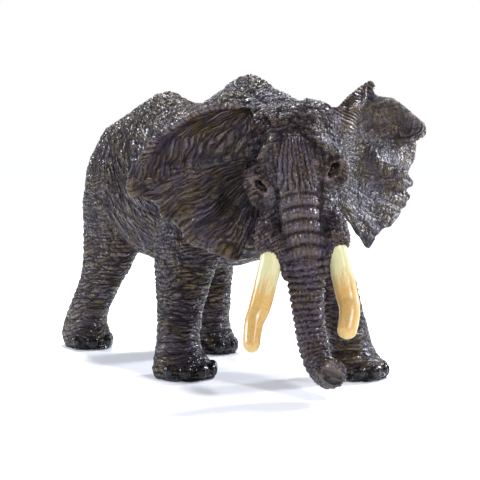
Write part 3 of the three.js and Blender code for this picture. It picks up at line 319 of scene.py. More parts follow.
def at(ahead, left, up):
    """Points of a frame that looks along -Y, from distances ahead of, left of and above its origin."""
    left, ahead, up = np.broadcast_arrays(left, ahead, up)
    return np.stack([left, -ahead, up], axis=-1).astype(float)


def turned(angle, axis):
    return np.array(Matrix.Rotation(angle, 3, axis))


HEAD_BASIS = turned(HEAD_TURN, "Z") @ turned(HEAD_ROLL, "Y")
HEAD_ORIGIN = at(*HEAD_PLACE)


def from_head(points):
    return points @ HEAD_BASIS.T + HEAD_ORIGIN


def into_head(points):
    return (points - HEAD_ORIGIN) @ HEAD_BASIS


def unit(vectors):
    return vectors / np.maximum(np.linalg.norm(vectors, axis=-1, keepdims=True), 1e-12)


def smoothstep(x, low, high):
    t = np.clip((x - low) / (high - low), 0, 1)
    return t * t * (3 - 2 * t)


def crowded(count):
    return (1 - np.cos(np.pi * np.linspace(0, 1, count))) / 2


def arrays(rows):
    """A table of shares with its columns as arrays."""
    return {name: np.array(column, float) for name, column in rows.items()}


def row_at(rows, key, values):
    """Reads a table of shares at values of its key column, on a smooth curve through its rows."""
    rows = arrays(rows)
    keys = rows[key]
    way = 1 if keys[-1] > keys[0] else -1
    values = np.asarray(values, float)
    i = np.clip(np.searchsorted(way * keys, way * values, side="right") - 1, 0, len(keys) - 2)
    gap = keys[i + 1] - keys[i]
    t = np.clip((values - keys[i]) / gap, 0, 1)
    result = {}
    for name, column in rows.items():
        slopes = np.empty_like(column)
        slopes[1:-1] = (column[2:] - column[:-2]) / (keys[2:] - keys[:-2])
        slopes[0] = (column[1] - column[0]) / (keys[1] - keys[0])
        slopes[-1] = (column[-1] - column[-2]) / (keys[-1] - keys[-2])
        result[name] = (
            (2 * t**3 - 3 * t**2 + 1) * column[i] + (3 * t**2 - 2 * t**3) * column[i + 1]
            + (t**3 - 2 * t**2 + t) * slopes[i] * gap + (t**3 - t**2) * slopes[i + 1] * gap)
    return result


def smooth_curve(corners, count):
    """Points on a centripetal Catmull-Rom curve, evenly spread over its segments."""
    corners = np.asarray(corners, float)
    padded = np.vstack([2 * corners[0] - corners[1], corners, 2 * corners[-1] - corners[-2]])
    place = np.linspace(0, len(corners) - 1, count)
    i = np.minimum(place.astype(int), len(corners) - 2)
    t = (place - i)[:, None]
    p = [padded[i + k] for k in range(4)]
    gaps = [np.maximum(np.sum((p[k + 1] - p[k]) ** 2, axis=1, keepdims=True) ** 0.25, 1e-9)
            for k in range(3)]
    start = (p[1] - p[0]) / gaps[0] - (p[2] - p[0]) / (gaps[0] + gaps[1]) + (p[2] - p[1]) / gaps[1]
    end = (p[2] - p[1]) / gaps[1] - (p[3] - p[1]) / (gaps[1] + gaps[2]) + (p[3] - p[2]) / gaps[2]
    start, end = start * gaps[1], end * gaps[1]
    return ((2 * p[1] - 2 * p[2] + start + end) * t**3
            + (3 * p[2] - 3 * p[1] - 2 * start - end) * t**2 + start * t + p[1])


def smooth_line(corners, radii, shares, samples=400):
    """Points at shares of the length of a smooth line through corners, their radii, and the length."""
    curve = smooth_curve(np.column_stack([corners, radii]), samples)
    steps = np.linalg.norm(np.diff(curve[:, :3], axis=0), axis=1)
    travel = np.concatenate([[0], np.cumsum(steps)])
    made = np.stack([np.interp(shares * travel[-1], travel, column) for column in curve.T], axis=1)
    return made[:, :3], made[:, 3], travel[-1]


def ring_points(centre, across, upright, half, above, below, sides, square=2.0, pinch=0.0):
    """Rings of a super-ellipse whose two halves may differ, pinched towards its upper side."""
    count = len(centre)
    half, above, below, square, pinch = (
        np.broadcast_to(v, count)[:, None] for v in (half, above, below, square, pinch))
    turn = np.linspace(0, 2 * np.pi, sides, endpoint=False)[None, :]
    x = np.sign(np.cos(turn)) * np.abs(np.cos(turn)) ** (2 / square)
    y = np.sign(np.sin(turn)) * np.abs(np.sin(turn)) ** (2 / square)
    width = half * (1 - pinch * np.maximum(0, y) ** 2)
    reach = np.where(y > 0, above, below)
    across = np.broadcast_to(across, (count, 3))[:, None, :]
    upright = np.broadcast_to(upright, (count, 3))[:, None, :]
    return centre[:, None, :] + across * (x * width)[..., None] + upright * (y * reach)[..., None]


def loft(rings):
    """Closed mesh data from rings of equal count, with a fan over each end."""
    count, sides = rings.shape[:2]
    points = np.vstack([rings.reshape(-1, 3), rings[0].mean(0), rings[-1].mean(0)])
    k = np.arange(sides)
    following = (k + 1) % sides
    faces = []
    for i in range(count - 1):
        base = i * sides
        faces += np.stack([
            base + k, base + following, base + sides + following, base + sides + k], 1).tolist()
    last = (count - 1) * sides
    faces += np.stack([following, k, np.full(sides, count * sides)], 1).tolist()
    faces += np.stack([last + k, last + following, np.full(sides, count * sides + 1)], 1).tolist()
    return points, faces


def tube_frames(points):
    """Headings of a curve, with two directions square to them that turn as little as they can."""
    heading = unit(np.gradient(points, axis=0))
    across = np.empty_like(heading)
    across[0] = unit(np.cross(heading[0], [0.0, 1.0, 0.31]))
    for i in range(1, len(points)):
        across[i] = unit(across[i - 1] - heading[i] * np.dot(across[i - 1], heading[i]))
    return heading, across, np.cross(heading, across)


def tube(points, radii, sides=32):
    _, across, upright = tube_frames(points)
    return loft(ring_points(points, across, upright, radii, radii, radii, sides))


def ball(centre, directions, sizes, around=32, down=20):
    """Closed mesh data of a ball stretched along three directions."""
    tilt = np.linspace(0.04, np.pi - 0.04, down)[:, None]
    turn = np.linspace(0, 2 * np.pi, around, endpoint=False)[None, :]
    local = np.stack(np.broadcast_arrays(
        np.sin(tilt) * np.cos(turn), np.sin(tilt) * np.sin(turn), np.cos(tilt)), axis=-1)
    return loft(centre + (local * np.asarray(sizes)) @ np.asarray(directions))


# Noise

def hashed(cells, seed):
    """A repeatable number from 0 to 1 for each whole-number cell."""
    x, y, z = (cells[..., k].astype(np.int64) for k in range(3))
    h = (x * 374761393 + y * 668265263 + z * 1274126177 + seed * 2246822519) & 0xFFFFFFFF
    h = ((h ^ (h >> 13)) * 1103515245) & 0xFFFFFFFF
    h = ((h ^ (h >> 15)) * 2654435761) & 0xFFFFFFFF
    return ((h ^ (h >> 16)) & 0xFFFFFF) / 0x1000000


def cloud(points, size, seed, octaves=1):
    """Smooth noise from -1 to 1 with features of a size."""
    total, weight, scale = 0, 0, 1.0
    for octave in range(octaves):
        p = points / (size * scale)
        base = np.floor(p).astype(np.int64)
        t = p - base
        t = t * t * (3 - 2 * t)
        value = 0
        for dx in (0, 1):
            for dy in (0, 1):
                for dz in (0, 1):
                    w = ((t[..., 0] if dx else 1 - t[..., 0]) * (t[..., 1] if dy else 1 - t[..., 1])
                         * (t[..., 2] if dz else 1 - t[..., 2]))
                    value = value + w * hashed(base + (dx, dy, dz), seed + 17 * octave)
        total = total + (2 * value - 1) * scale
        weight += scale
        scale *= 0.5
    return total / weight


def cracks(points, seed):
    """How far each point lies from the border of its cell, about 0 on a crack and 0.5 in a cell's middle."""
    jitter = 0.9
    base = np.floor(points).astype(np.int64)
    first = np.full(len(points), 9.0)
    second = np.full(len(points), 9.0)
    for dx in (-1, 0, 1):
        for dy in (-1, 0, 1):
            for dz in (-1, 0, 1):
                cell = base + (dx, dy, dz)
                spot = np.stack([hashed(cell, seed + 31 * k) for k in range(3)], axis=-1)
                gap = cell + 0.5 + (spot - 0.5) * jitter - points
                distance = np.sqrt(np.sum(gap * gap, axis=-1))
                nearer = distance < first
                second = np.where(nearer, first, np.minimum(second, distance))
                first = np.where(nearer, distance, first)
    return second - first


# Forms of the castings, in the figure's frame

def torso_form():
    share = crowded(80)
    row = row_at(TORSO_SHARES, "along", share)
    level = row["widest"] * SHOULDER_HEIGHT
    return loft(ring_points(
        at(share * TORSO_LENGTH - TORSO_BEHIND, 0, level), at(0, 1, 0), at(0, 0, 1),
        row["half"] * BARREL_WIDTH / 2, row["top"] * SHOULDER_HEIGHT - level,
        level - row["bottom"] * SHOULDER_HEIGHT, 96, row["square"], row["pinch"]))


def neck_form():
    share = np.linspace(0, 1, 24)
    row = row_at(NECK_SHARES, "along", share)
    angle = HEAD_TURN * share
    across = np.stack([np.cos(angle), np.sin(angle), np.zeros_like(angle)], axis=1)
    return loft(ring_points(
        at(NECK_FROM + NECK_REACH * share, row["left"] * NECK_HALF_WIDTH, NECK_HEIGHT), across, at(0, 0, 1),
        row["half"] * NECK_HALF_WIDTH, row["above"] * NECK_HALF_DEPTH, row["below"] * NECK_HALF_DEPTH,
        80, 2.0, 0.3))


LEG_FACTS = ("name", "side", "rows", "length", "width", "toes", "track", "joint_height",
             "foot", "joint_ahead", "joint_track", "lean")
FRONT = (FRONT_LEG_SHARES, *FRONT_FOOT, 5, FRONT_TRACK, SHOULDER_JOINT_HEIGHT)
REAR = (REAR_LEG_SHARES, *REAR_FOOT, 4, REAR_TRACK, HIP_JOINT_HEIGHT)
LEGS = [dict(zip(LEG_FACTS, facts)) for facts in (
    ("front_right_leg", -1, *FRONT, (STANCE_LENGTH - FRONT_STRIDE) / 2, 32 * MM, 60 * MM, 6.6 * MM),
    ("front_left_leg", 1, *FRONT, (STANCE_LENGTH + FRONT_STRIDE) / 2, 54 * MM, 52 * MM, -0.5 * MM),
    ("rear_right_leg", -1, *REAR, (-STANCE_LENGTH - REAR_STRIDE) / 2, -68 * MM, 46 * MM, 0.0),
    ("rear_left_leg", 1, *REAR, (REAR_STRIDE - STANCE_LENGTH) / 2, -50 * MM, 46 * MM, -4 * MM))]


def leg_centre(leg, height):
    row = row_at(leg["rows"], "height", height / SHOULDER_HEIGHT)
    reach = row["reach"]
    ahead = leg["foot"] + (leg["joint_ahead"] - leg["foot"]) * reach - row["lean"] * leg["lean"]
    left = leg["side"] * (leg["track"] + (leg["joint_track"] - leg["track"]) * reach) / 2
    return at(ahead, left, height)


def foot_centre(leg):
    return leg_centre(leg, np.array([0.0]))[0]


def leg_form(leg):
    share = np.linspace(0, 1, 72)
    row = row_at(leg["rows"], "height", share**1.25 * leg["rows"]["height"][-1])
    centre = leg_centre(leg, row["height"] * SHOULDER_HEIGHT)
    return loft(ring_points(
        centre, at(0, 1, 0), at(1, 0, 0), row["half"] * leg["width"] / 2, row["front"] * leg["length"] / 2,
        row["back"] * leg["length"] / 2, 72, 2.1))


def leg_level(leg, points):
    """How far out a point lies in a leg's cross-section at its height, 1 on the leg's own skin."""
    height = np.clip(points[:, 2], 0, leg["rows"]["height"][-1] * SHOULDER_HEIGHT)
    row = row_at(leg["rows"], "height", height / SHOULDER_HEIGHT)
    centre = leg_centre(leg, height)
    x = np.abs(points[:, 0] - centre[:, 0]) / (row["half"] * leg["width"] / 2)
    ahead = centre[:, 1] - points[:, 1]
    reach = np.where(ahead > 0, row["front"], row["back"]) * leg["length"] / 2
    return np.hypot(x, np.abs(ahead) / reach)


def in_head(form):
    """Mesh data given in the head's frame, in the figure's frame."""
    points, faces = form
    return from_head(points), faces


def head_form():
    share = crowded(72)
    rise = HEAD_SHARES["rise"][0] + (HEAD_SHARES["rise"][-1] - HEAD_SHARES["rise"][0]) * share
    row = row_at(HEAD_SHARES, "rise", rise)
    front, back = row["front"] * FACE_LENGTH, row["back"] * FACE_LENGTH
    middle = back + (front - back) * 0.55
    return in_head(loft(ring_points(
        at(middle, share * MUZZLE_SHIFT, row["rise"] * FACE_HEIGHT), at(0, 1, 0), at(1, 0, 0),
        row["half"] * HEAD_WIDTH / 2, front - middle, middle - back, 88, 2.2, row["pinch"])))


def tapered_form(ahead, left, up, radii):
    """A round form along a smooth line through places of the head."""
    points, radius, _ = smooth_line(at(ahead, left, up), radii, np.linspace(0, 1, 26), 120)
    return in_head(tube(points, radius))


def face_forms(side):
    """Crown, brow, cheek, tusk sheath, and the lip that runs down the inner side of the tusk."""
    brow, cheek, sheath, lip = map(arrays, (BROW_SHARES, CHEEK_SHARES, SHEATH_SHARES, LIP_SHARES))
    crown = at(-CROWN_BEHIND, CROWN_SHIFT + side * CROWN_SPACING / 2, CROWN_HEIGHT + side * CROWN_TILT / 2)
    tilt = side * EYE_TILT / 2
    return [
        in_head(ball(crown, np.eye(3), (CROWN_RADIUS, CROWN_RADIUS * 1.5, CROWN_RADIUS))),
        tapered_form(brow["ahead"] * BROW_LENGTH, side * brow["out"] * BROW_LENGTH,
                     brow["up"] * BROW_LENGTH + tilt, brow["radius"] * BROW_THICKNESS),
        tapered_form(cheek["ahead"] * CHEEK_LENGTH, side * cheek["out"] * HEAD_WIDTH / 2,
                     cheek["up"] * CHEEK_LENGTH + tilt, cheek["radius"] * CHEEK_THICKNESS),
        tapered_form(sheath["ahead"] * SHEATH_LENGTH, MUZZLE_SHIFT + side * sheath["out"] * SHEATH_SPREAD,
                     -SHEATH_DROP - sheath["down"] * SHEATH_LENGTH, sheath["radius"] * SHEATH_RADIUS),
        tapered_form(TUSK_ROOT_AHEAD + lip["ahead"] * MM,
                     MUZZLE_SHIFT + side * (TUSK_SPREAD / 2 - lip["inward"] * MM),
                     -TUSK_ROOT_DROP - lip["down"] * MM, lip["radius"] * MM),
    ]


def trunk_line(count):
    """Points evenly spread on the trunk's middle line in the head's frame, their radii, and its length."""
    row = arrays(TRUNK_SHARES)
    corners = at(row["ahead"] * TRUNK_REACH, MUZZLE_SHIFT + row["left"] * TRUNK_SWAY, -row["drop"] * TRUNK_DROP)
    return smooth_line(corners, row["radius"] * TRUNK_RADIUS, np.linspace(0, 1, count))


def trunk_form():
    points, radius, _ = trunk_line(120)
    return in_head(tube(points, radius, 64))


def jaw_form():
    row = row_at(JAW_SHARES, "along", crowded(32))
    return in_head(loft(ring_points(
        at(row["along"] * JAW_LENGTH - JAW_BEHIND, MUZZLE_SHIFT, -JAW_DROP - row["drop"] * JAW_THICKNESS),
        at(0, 1, 0), at(0, 0, 1), row["half"] * JAW_HALF_WIDTH, row["above"] * JAW_THICKNESS,
        row["below"] * JAW_THICKNESS, 48)))


# The skin as one surface, which is shaped whole and then parted into its castings

class Skin:
    """A surface of quads with the numbers that shaping it needs."""

    def __init__(self, points, quads):
        self.points = points
        self.quads = quads
        pairs = np.concatenate([quads[:, [k, (k + 1) % 4]] for k in range(4)])
        pairs = np.sort(pairs, axis=1)
        keys = np.unique(pairs[:, 0].astype(np.int64) * len(points) + pairs[:, 1])
        self.edges = np.stack([keys // len(points), keys % len(points)], axis=1)
        self.degree = np.bincount(self.edges.ravel(), minlength=len(points)).astype(float)

    def mean(self, values):
        """The mean of each point's neighbours."""
        a, b = self.edges.T
        count = len(self.points)
        columns = values.reshape(count, -1)
        sums = [np.bincount(a, columns[b, k], count) + np.bincount(b, columns[a, k], count)
                for k in range(columns.shape[1])]
        return (np.stack(sums, axis=1) / self.degree[:, None]).reshape(values.shape)

    def relax(self, steps, weight):
        for _ in range(steps):
            self.points = self.points + 0.5 * weight[:, None] * (self.mean(self.points) - self.points)

    def spread(self, values, steps):
        for _ in range(steps):
            values = 0.5 * (values + self.mean(values))
        return values

    def normals(self):
        p = self.points[self.quads]
        face = np.cross(p[:, 2] - p[:, 0], p[:, 3] - p[:, 1])
        total = np.zeros_like(self.points)
        for k in range(3):
            total[:, k] = np.bincount(self.quads.ravel(), np.repeat(face[:, k], 4), len(self.points))
        return unit(total)


def add_mesh(name, points, faces):
    mesh = bpy.data.meshes.new(name)
    mesh.from_pydata(np.asarray(points).tolist(), [], faces if isinstance(faces, list) else faces.tolist())
    mesh.update()
    piece = bpy.data.objects.new(name, mesh)
    bpy.context.scene.collection.objects.link(piece)
    return piece


def merged(forms):
    """Mesh data of several forms as one."""
    points, faces, count = [], [], 0
    for form_points, form_faces in forms:
        faces += [[i + count for i in face] for face in form_faces]
        points.append(form_points)
        count += len(form_points)
    return np.vstack(points), faces


def remeshed(piece, voxel):
    """A new mesh of even faces round a piece."""
    remesh = piece.modifiers.new("even", "REMESH")
    remesh.mode = "VOXEL"
    remesh.voxel_size = voxel
    mesh = bpy.data.meshes.new_from_object(piece.evaluated_get(bpy.context.evaluated_depsgraph_get()))
    piece.modifiers.clear()
    return mesh


def fused(forms, voxel):
    """One skin round all the forms."""
    raw = add_mesh("raw_forms", *merged(forms))
    old, mesh = raw.data, remeshed(raw, voxel)
    points = np.empty(len(mesh.vertices) * 3, np.float32)
    mesh.vertices.foreach_get("co", points)
    corners = np.empty(len(mesh.loops), np.int32)
    mesh.loops.foreach_get("vertex_index", corners)
    if len(corners) != 4 * len(mesh.polygons):
        raise RuntimeError("the fused skin is not all quads")
    bpy.data.objects.remove(raw)
    for unused in (old, mesh):
        bpy.data.meshes.remove(unused)
    return Skin(points.reshape(-1, 3).astype(float), corners.reshape(-1, 4))


def gap_to_path(points, path):
    """Distance from points to a line of straight stretches."""
    path = np.asarray(path, float)
    if len(path) == 1:
        return np.linalg.norm(points - path[0], axis=1)
    least = np.full(len(points), 1e9)
    for start, end in zip(path[:-1], path[1:]):
        way = end - start
        share = np.clip((points - start) @ way / (way @ way), 0, 1)
        least = np.minimum(least, np.linalg.norm(points - start - share[:, None] * way, axis=1))
    return least


def millimetres(rows):
    """Path points given as ahead, left and up in millimetres."""
    rows = np.array(rows, float) * MM
    return at(rows[:, 0], rows[:, 1], rows[:, 2])


# Ridges and hollows as path, radius and height in millimetres. A path's points are ahead, left and up, and
# its left is mirrored for the right side.
BODY_SIDE_RIDGES = [
    ([(62, 33, 161), (50, 40, 138), (36, 43, 115)], 9, 2.6),
    ([(18, 42, 128), (14, 44, 103)], 10, -1.8),
    ([(-62, 34.5, 151)], 11, 2.6),
    ([(-62, 33, 153), (-85, 22, 151), (-103, 8, 143)], 7, 1.6),
    ([(-42, 42, 121)], 15, -2.6),
    ([(-36, 43, 63), (-50, 44, 79), (-58, 44, 99)], 5.3, 2.2),
]
BODY_MIDDLE_RIDGES = [
    ([(-95, 0, 155), (-60, 0, 172), (-20, 0, 170), (0, 0, 167), (25, 0, 175), (45, 0, 183)], 5, 1.2),
]
HEAD_SIDE_RIDGES = [
    ([(-2, 21, 27), (-4, 24, 19)], 7, -2.6),
    ([(-13, 25, 13)], 8, -1.6),
]
# The face isn't the same on both sides, so these are left as they are.
FACE_RIDGES = [
    ([(-2, -4.5, 38.6), (2.3, -0.3, 32.4), (5.5, -1.1, 26.8)], 6.5, -2.6),
    ([(-13.9, -11, 43.2), (0.8, -11.5, 33.4), (7.6, -13.8, 21.1)], 3.0, 2.6),
    ([(-9.4, 10.4, 41.9), (5.4, 12.2, 27.9), (9.8, 12.3, 20)], 3.0, 2.8),
    ([(7.6, -13.8, 21.1), (5.4, -18.7, 16.3), (3.4, -23.6, 11.5), (1, -26, 7), (-3, -28, 1)], 2.3, 2.6),
    ([(9.8, 12.3, 20), (6.7, 19.4, 13), (2.4, 24, 9.6), (-0.5, 27, 6.6), (-0.5, 28, 0.6), (2, 25.5, -6)],
     2.2, 2.4),
    ([(4.6, -18, 8), (2, -23.5, 4)], 3.2, -2.0),
    ([(7, 15.5, 7), (4.5, 20, 7.5)], 2.4, -1.4),
    ([(8.5, 14.4, 10), (9.6, 13, 2), (11, 11.4, -7)], 2.4, -1.8),
    ([(8.6, -13, 9), (9.4, -13, 1)], 2.4, -1.6),
    ([(0.9, -24.4, -0.6), (3.1, -22.1, -2.8), (5.4, -19.7, -5.2)], 1.9, -3.4),
    ([(1.0, 23.6, 5), (3.4, 20.8, 2.6), (6.2, 17.2, -0.4)], 2.2, -3.6),
    ([(-2, -27, 2.4), (2.0, -24, 2.4), (5.4, -20.6, -0.4), (7.8, -17.4, -5.4)], 1.2, 2.3),
    ([(-2, -27, -2.4), (1.2, -23.8, -5.2), (4.0, -21, -7.6), (7.6, -17.4, -7.4)], 1.2, 2.0),
    ([(8.2, 15, -0.6), (6.2, 18.8, 4.6), (3.2, 22.6, 7.6), (-0.6, 26.2, 8.6)], 1.2, 2.3),
    ([(8.2, 15, -1.8), (5.2, 19.6, -3.0), (2, 23.6, -0.6), (-0.8, 26.4, 4.0)], 1.2, 2.0),
    ([(0.5, 25, -3), (3, 21.8, -5.4), (5, 19, -6)], 2.4, 1.9),
    ([(-1, -26, -8.4), (2.4, -22.6, -12), (6.6, -18, -12)], 1.5, 1.2),
    ([(-0.6, 26, -4.6), (3, 22, -8.4), (7.6, 16, -8)], 1.5, 1.2),
    ([(11.9, -13.8, -7.4), (13, -15.4, -17.5), (16.9, -16.1, -28.6)], 2.3, -1.5),
    ([(13.7, 10.6, -8.3), (16.2, 10.5, -19.6), (18.4, 11, -31), (19.6, 10.7, -39.4)], 2.3, -1.5),
    ([(8, -2, 18), (12, -1.8, 4), (14.5, -1.5, -10), (17, -1.5, -36)], 7.5, 1.6),
]
# The end of the trunk: its rim, the crease under its finger, and two nostrils
NOSTRILS = [([(41.8, 2.4, -111.4), (41.6, 3.0, -113.2)], 2.0, -3),
            ([(41.8, 5.8, -114.0), (41.9, 8.6, -115.0)], 2.0, -3)]
TRUNK_TIP_RIDGES = [
    ([(41.9, 0.2, -106.4), (41.2, 9.9, -111.5)], 1.2, -1.8),
    ([(41.5, 2, -104.5), (41, 11, -109.2)], 1.8, 0.9),
] + NOSTRILS

NECK_POINT = at(NECK_SEAM_AHEAD, 0, NECK_HEIGHT)
NECK_NORMAL = at(math.cos(NECK_SEAM_TILT), 0, math.sin(NECK_SEAM_TILT))


def press_ridges(skin, ridges, side, to_figure=None):
    """Raises ridges and sinks hollows into the skin along its normals."""
    normals = skin.normals()
    lift = np.zeros(len(skin.points))
    for path, radius, height in ridges:
        path = millimetres([(ahead, left * side, up) for ahead, left, up in path])
        path = to_figure(path) if to_figure else path
        gap = gap_to_path(skin.points, path) / (radius * MM)
        lift += height * MM * np.exp(-gap * gap)
    skin.points = skin.points + normals * lift[:, None]


def swelling(skin):
    """How far each point stands out of its wider surroundings, from -1 in a hollow to 1 on a ridge."""
    out = np.sum((skin.points - skin.spread(skin.points, 26)) * skin.normals(), axis=1)
    return np.clip(skin.spread(out, 3) / SWELL_HEIGHT, -1, 1)


CASTINGS = ["torso_shell", "head_shell", "lower_jaw", "trunk"] + [leg["name"] for leg in LEGS]
# The castings' places in that list, which label the points of the skin
TORSO, HEAD, JAW, TRUNK, FIRST_LEG = range(5)


def casting_of(points):
    """Which casting each point of the skin belongs to, by the same planes as the frame's seams."""
    label = np.zeros(len(points), int)
    local = into_head(points)
    label[(points - NECK_POINT) @ NECK_NORMAL > 0] = HEAD
    jaw = (local[:, 2] < -JAW_DROP) & (-local[:, 1] < JAW_LENGTH * JAW_REACH - JAW_BEHIND) & (label == HEAD)
    label[jaw & (np.abs(local[:, 0] - MUZZLE_SHIFT) < JAW_HALF_WIDTH * JAW_WIDTH)] = JAW
    line, radius, _ = trunk_line(60)
    gap = np.full(len(points), 1e9)
    low = (local[:, 2] < -TRUNK_SEAM_DROP) & (label == HEAD)
    for place, reach in zip(line, radius):
        gap[low] = np.minimum(gap[low], np.linalg.norm(local[low] - place, axis=1) - reach)
    label[low & (gap < TRUNK_MARGIN)] = TRUNK
    for k, leg in enumerate(LEGS):
        normal = at(0, leg["side"] * math.cos(SEAM_TILT), -math.sin(SEAM_TILT))
        joint = leg_centre(leg, np.array([leg["joint_height"]]))[0]
        beyond = (points - joint) @ normal > 0
        label[beyond & (leg_level(leg, points) < LEG_LEVEL)] = FIRST_LEG + k
    return label


def settled(skin, label):
    """Labels with ragged borders smoothed away."""
    for _ in range(6):
        one_hot = (label[:, None] == np.arange(len(CASTINGS))).astype(float)
        label = np.argmax(skin.mean(one_hot) + 0.3 * one_hot, axis=1)
    return label


# Wrinkles. Each region has two flows: places in millimetres that are true across its wrinkles and shrunk
# along them, so that cells drawn on them come out long.

def arc(points, centre_ahead, centre_up):
    """Millimetres from a line that crosses the figure from side to side."""
    return np.hypot(-points[:, 1] - centre_ahead, points[:, 2] - centre_up) / MM


def pads(flow, seed, border=0.3):
    """Raised pads between cracks: 0 in a crack and 1 on a pad."""
    return smoothstep(cracks(flow, seed), 0.02, border)


def wobble(points, seed, broad=2.4, fine=0.6):
    """Millimetres by which a wrinkle strays from its field's level line."""
    return broad * cloud(points, 15 * MM, seed) + fine * cloud(points, 4.5 * MM, seed + 1)


def drawn_out(points, field, stretch):
    """Places whose first number is a field in millimetres and whose others are shrunk along it."""
    p = points / MM
    return np.stack([field, (0.30 * p[:, 0] + 0.75 * p[:, 1] + 0.58 * p[:, 2]) / stretch,
                     (0.80 * p[:, 0] - 0.42 * p[:, 1] + 0.43 * p[:, 2]) / stretch], axis=1)


def torso_flows(points):
    """Arcs that hang from the withers down the flank, crossed by others from behind the rump."""
    hung = arc(points, 52 * MM, 194 * MM)
    crossed = arc(points, -165 * MM, 40 * MM)
    top = smoothstep(points[:, 2], 138 * MM, 165 * MM)
    first = drawn_out(points, hung + wobble(points, 11), 5.0)
    second = drawn_out(points, crossed + wobble(points, 14), 3.0)
    return first, second, 0.3 + 0.3 * top


def leg_flows(points):
    """Level creases, with a net between them that grows towards the body."""
    level = points[:, 2] / MM + 0.10 * points[:, 1] / MM
    first = drawn_out(points, level + wobble(points, 21, 2.6), 4.2)
    slope = (0.6 * points[:, 0] + 0.8 * points[:, 1]) / MM
    second = drawn_out(points, slope + wobble(points, 24), 1.8)
    return first, second, 0.22 + 0.28 * smoothstep(points[:, 2], 50 * MM, 100 * MM)


def head_flows(points):
    """Level creases over forehead and cheeks, and upright ribs down the bridge of the nose."""
    local = into_head(points) / MM
    left, up = local[:, 0], local[:, 2]
    level = up + 0.012 * left**2 + wobble(points, 31, 1.6)
    first = drawn_out(points, level, 4.2)
    second = drawn_out(points, left + wobble(points, 34, 0.9, 0.3), 3.0)
    bridge = np.exp(-(left / 13) ** 2) * smoothstep(up, -16, -10) * (1 - smoothstep(up, 16, 24))
    muzzle = np.exp(-(left / 17) ** 2) * (1 - smoothstep(up, -16, -10))
    return first, second, np.clip(0.4 + 0.55 * bridge + 0.2 * muzzle, 0, 0.95)


def trunk_place(points):
    """How far down the trunk points of the head's frame lie, the way round it, and its radius there."""
    line, radius, length = trunk_line(160)
    heading, across, upright = tube_frames(line)
    best = np.full(len(points), 1e9)
    nearest = np.zeros(len(points), int)
    for i, place in enumerate(line):
        gap = np.sum((points - place) ** 2, axis=1)
        closer = gap < best
        best[closer] = gap[closer]
        nearest[closer] = i
    away = points - line[nearest]
    travel = nearest * length / (len(line) - 1) + np.sum(away * heading[nearest], axis=1)
    turn = np.arctan2(np.sum(away * upright[nearest], axis=1), np.sum(away * across[nearest], axis=1))
    return travel, turn, radius[nearest]


def trunk_flows(points):
    """Rings round the trunk, closer towards its tip, with short upright ribs in each."""
    travel, turn, radius = trunk_place(into_head(points))
    around = np.stack([np.cos(turn), np.sin(turn)], axis=1) * radius[:, None] / MM
    strayed = travel / MM + wobble(points, 41, 0.9, 0.4)
    rings = strayed * (1 + 0.0019 * strayed)
    first = np.stack([rings, around[:, 0] / 4, around[:, 1] / 4], axis=1)
    second = np.stack([around[:, 0], around[:, 1], strayed / 2.6], axis=1)
    return first, second, np.full(len(points), 0.5)


def netted(first, second, blend, seed):
    """Pads between long creases, which are parted again by weaker creases across them."""
    along = (1 - pads(first, seed)) * (1 - 0.6 * blend)
    across = (1 - pads(second, seed + 1)) * (0.2 + 0.8 * blend)
    return (1 - along) * (1 - across)


def band(travel, pitch, sharp=0.55):
    """A rounded ridge for each pitch, with a narrow groove between."""
    phase = np.abs(np.mod(travel / pitch, 1.0) - 0.5) * 2
    return 1 - phase ** (1 / (1 - sharp))


def torso_height(points, first, second, blend, spacing):
    net = netted(first / spacing, second / spacing, blend, 3)
    return net * (0.5 + 0.5 * pads(first / (3.6 * spacing), 5, 0.13))


def leg_height(points, first, second, blend, spacing):
    ankle = np.exp(-((points[:, 2] / MM - 19) / 9) ** 2)
    folds = band(first[:, 0], ANKLE_PITCH)
    net = netted(first / (0.9 * spacing), second / spacing, blend, 7)
    net = net * (0.55 + 0.45 * pads(first / (2.8 * spacing), 6, 0.14))
    return net * (1 - 0.5 * ankle) + 0.5 * ankle * folds


def nose_parts(points):
    """How much a point belongs to the ribbed bridge of the nose, under its arch, and to the folded muzzle below
    it, and the millimetres across its ribs and across its folds."""
    local = into_head(points) / MM
    left, up = local[:, 0] + 1.5, local[:, 2]
    front = smoothstep(-local[:, 1], -4, 2)
    arch = np.hypot(left, np.maximum(up - 12, 0))
    inside = (1 - smoothstep(arch + wobble(points, 37, 0.8, 0.4), 9.5, 12.5)) * front
    bridge = inside * smoothstep(up, -9, -6)
    muzzle = inside * (1 - smoothstep(up, -9, -6))
    rib = left / (0.5 + 0.5 * np.clip((24 - up) / 30, 0, 1)) + wobble(points, 36, 1.0, 0.45)
    fold = up + 0.6 + 0.022 * left**2 + 0.3 * wobble(points, 31, 1.6)
    return bridge, muzzle, rib, fold


def head_height(points, first, second, blend, spacing):
    net = netted(first / (0.85 * spacing), second / (0.8 * spacing), blend, 9)
    bridge, muzzle, rib, fold = nose_parts(points)
    ribs = band(rib + 1.2 * cloud(points, 5 * MM, 39), NOSE_RIB_PITCH)
    beads = 0.6 + 0.4 * pads(np.stack([rib / NOSE_RIB_PITCH, fold / 2.4, 0 * fold], axis=1), 38)
    folds = band(fold, MUZZLE_FOLD_PITCH, 0.7) * (0.45 + 0.55 * band(rib, MUZZLE_RIB_PITCH))
    return net * (1 - np.maximum(bridge, muzzle)) + bridge * ribs * beads + muzzle * folds


def trunk_height(points, first, second, blend, spacing):
    ribs = pads(second / (0.75 * spacing), 43)
    rings = band(first[:, 0], TRUNK_RING_PITCH, 0.7)
    return rings * (0.45 + 0.55 * ribs)


# The height of a wrinkle, from 0 to 1, that leaves the skin where it is
FLAT = 0.75

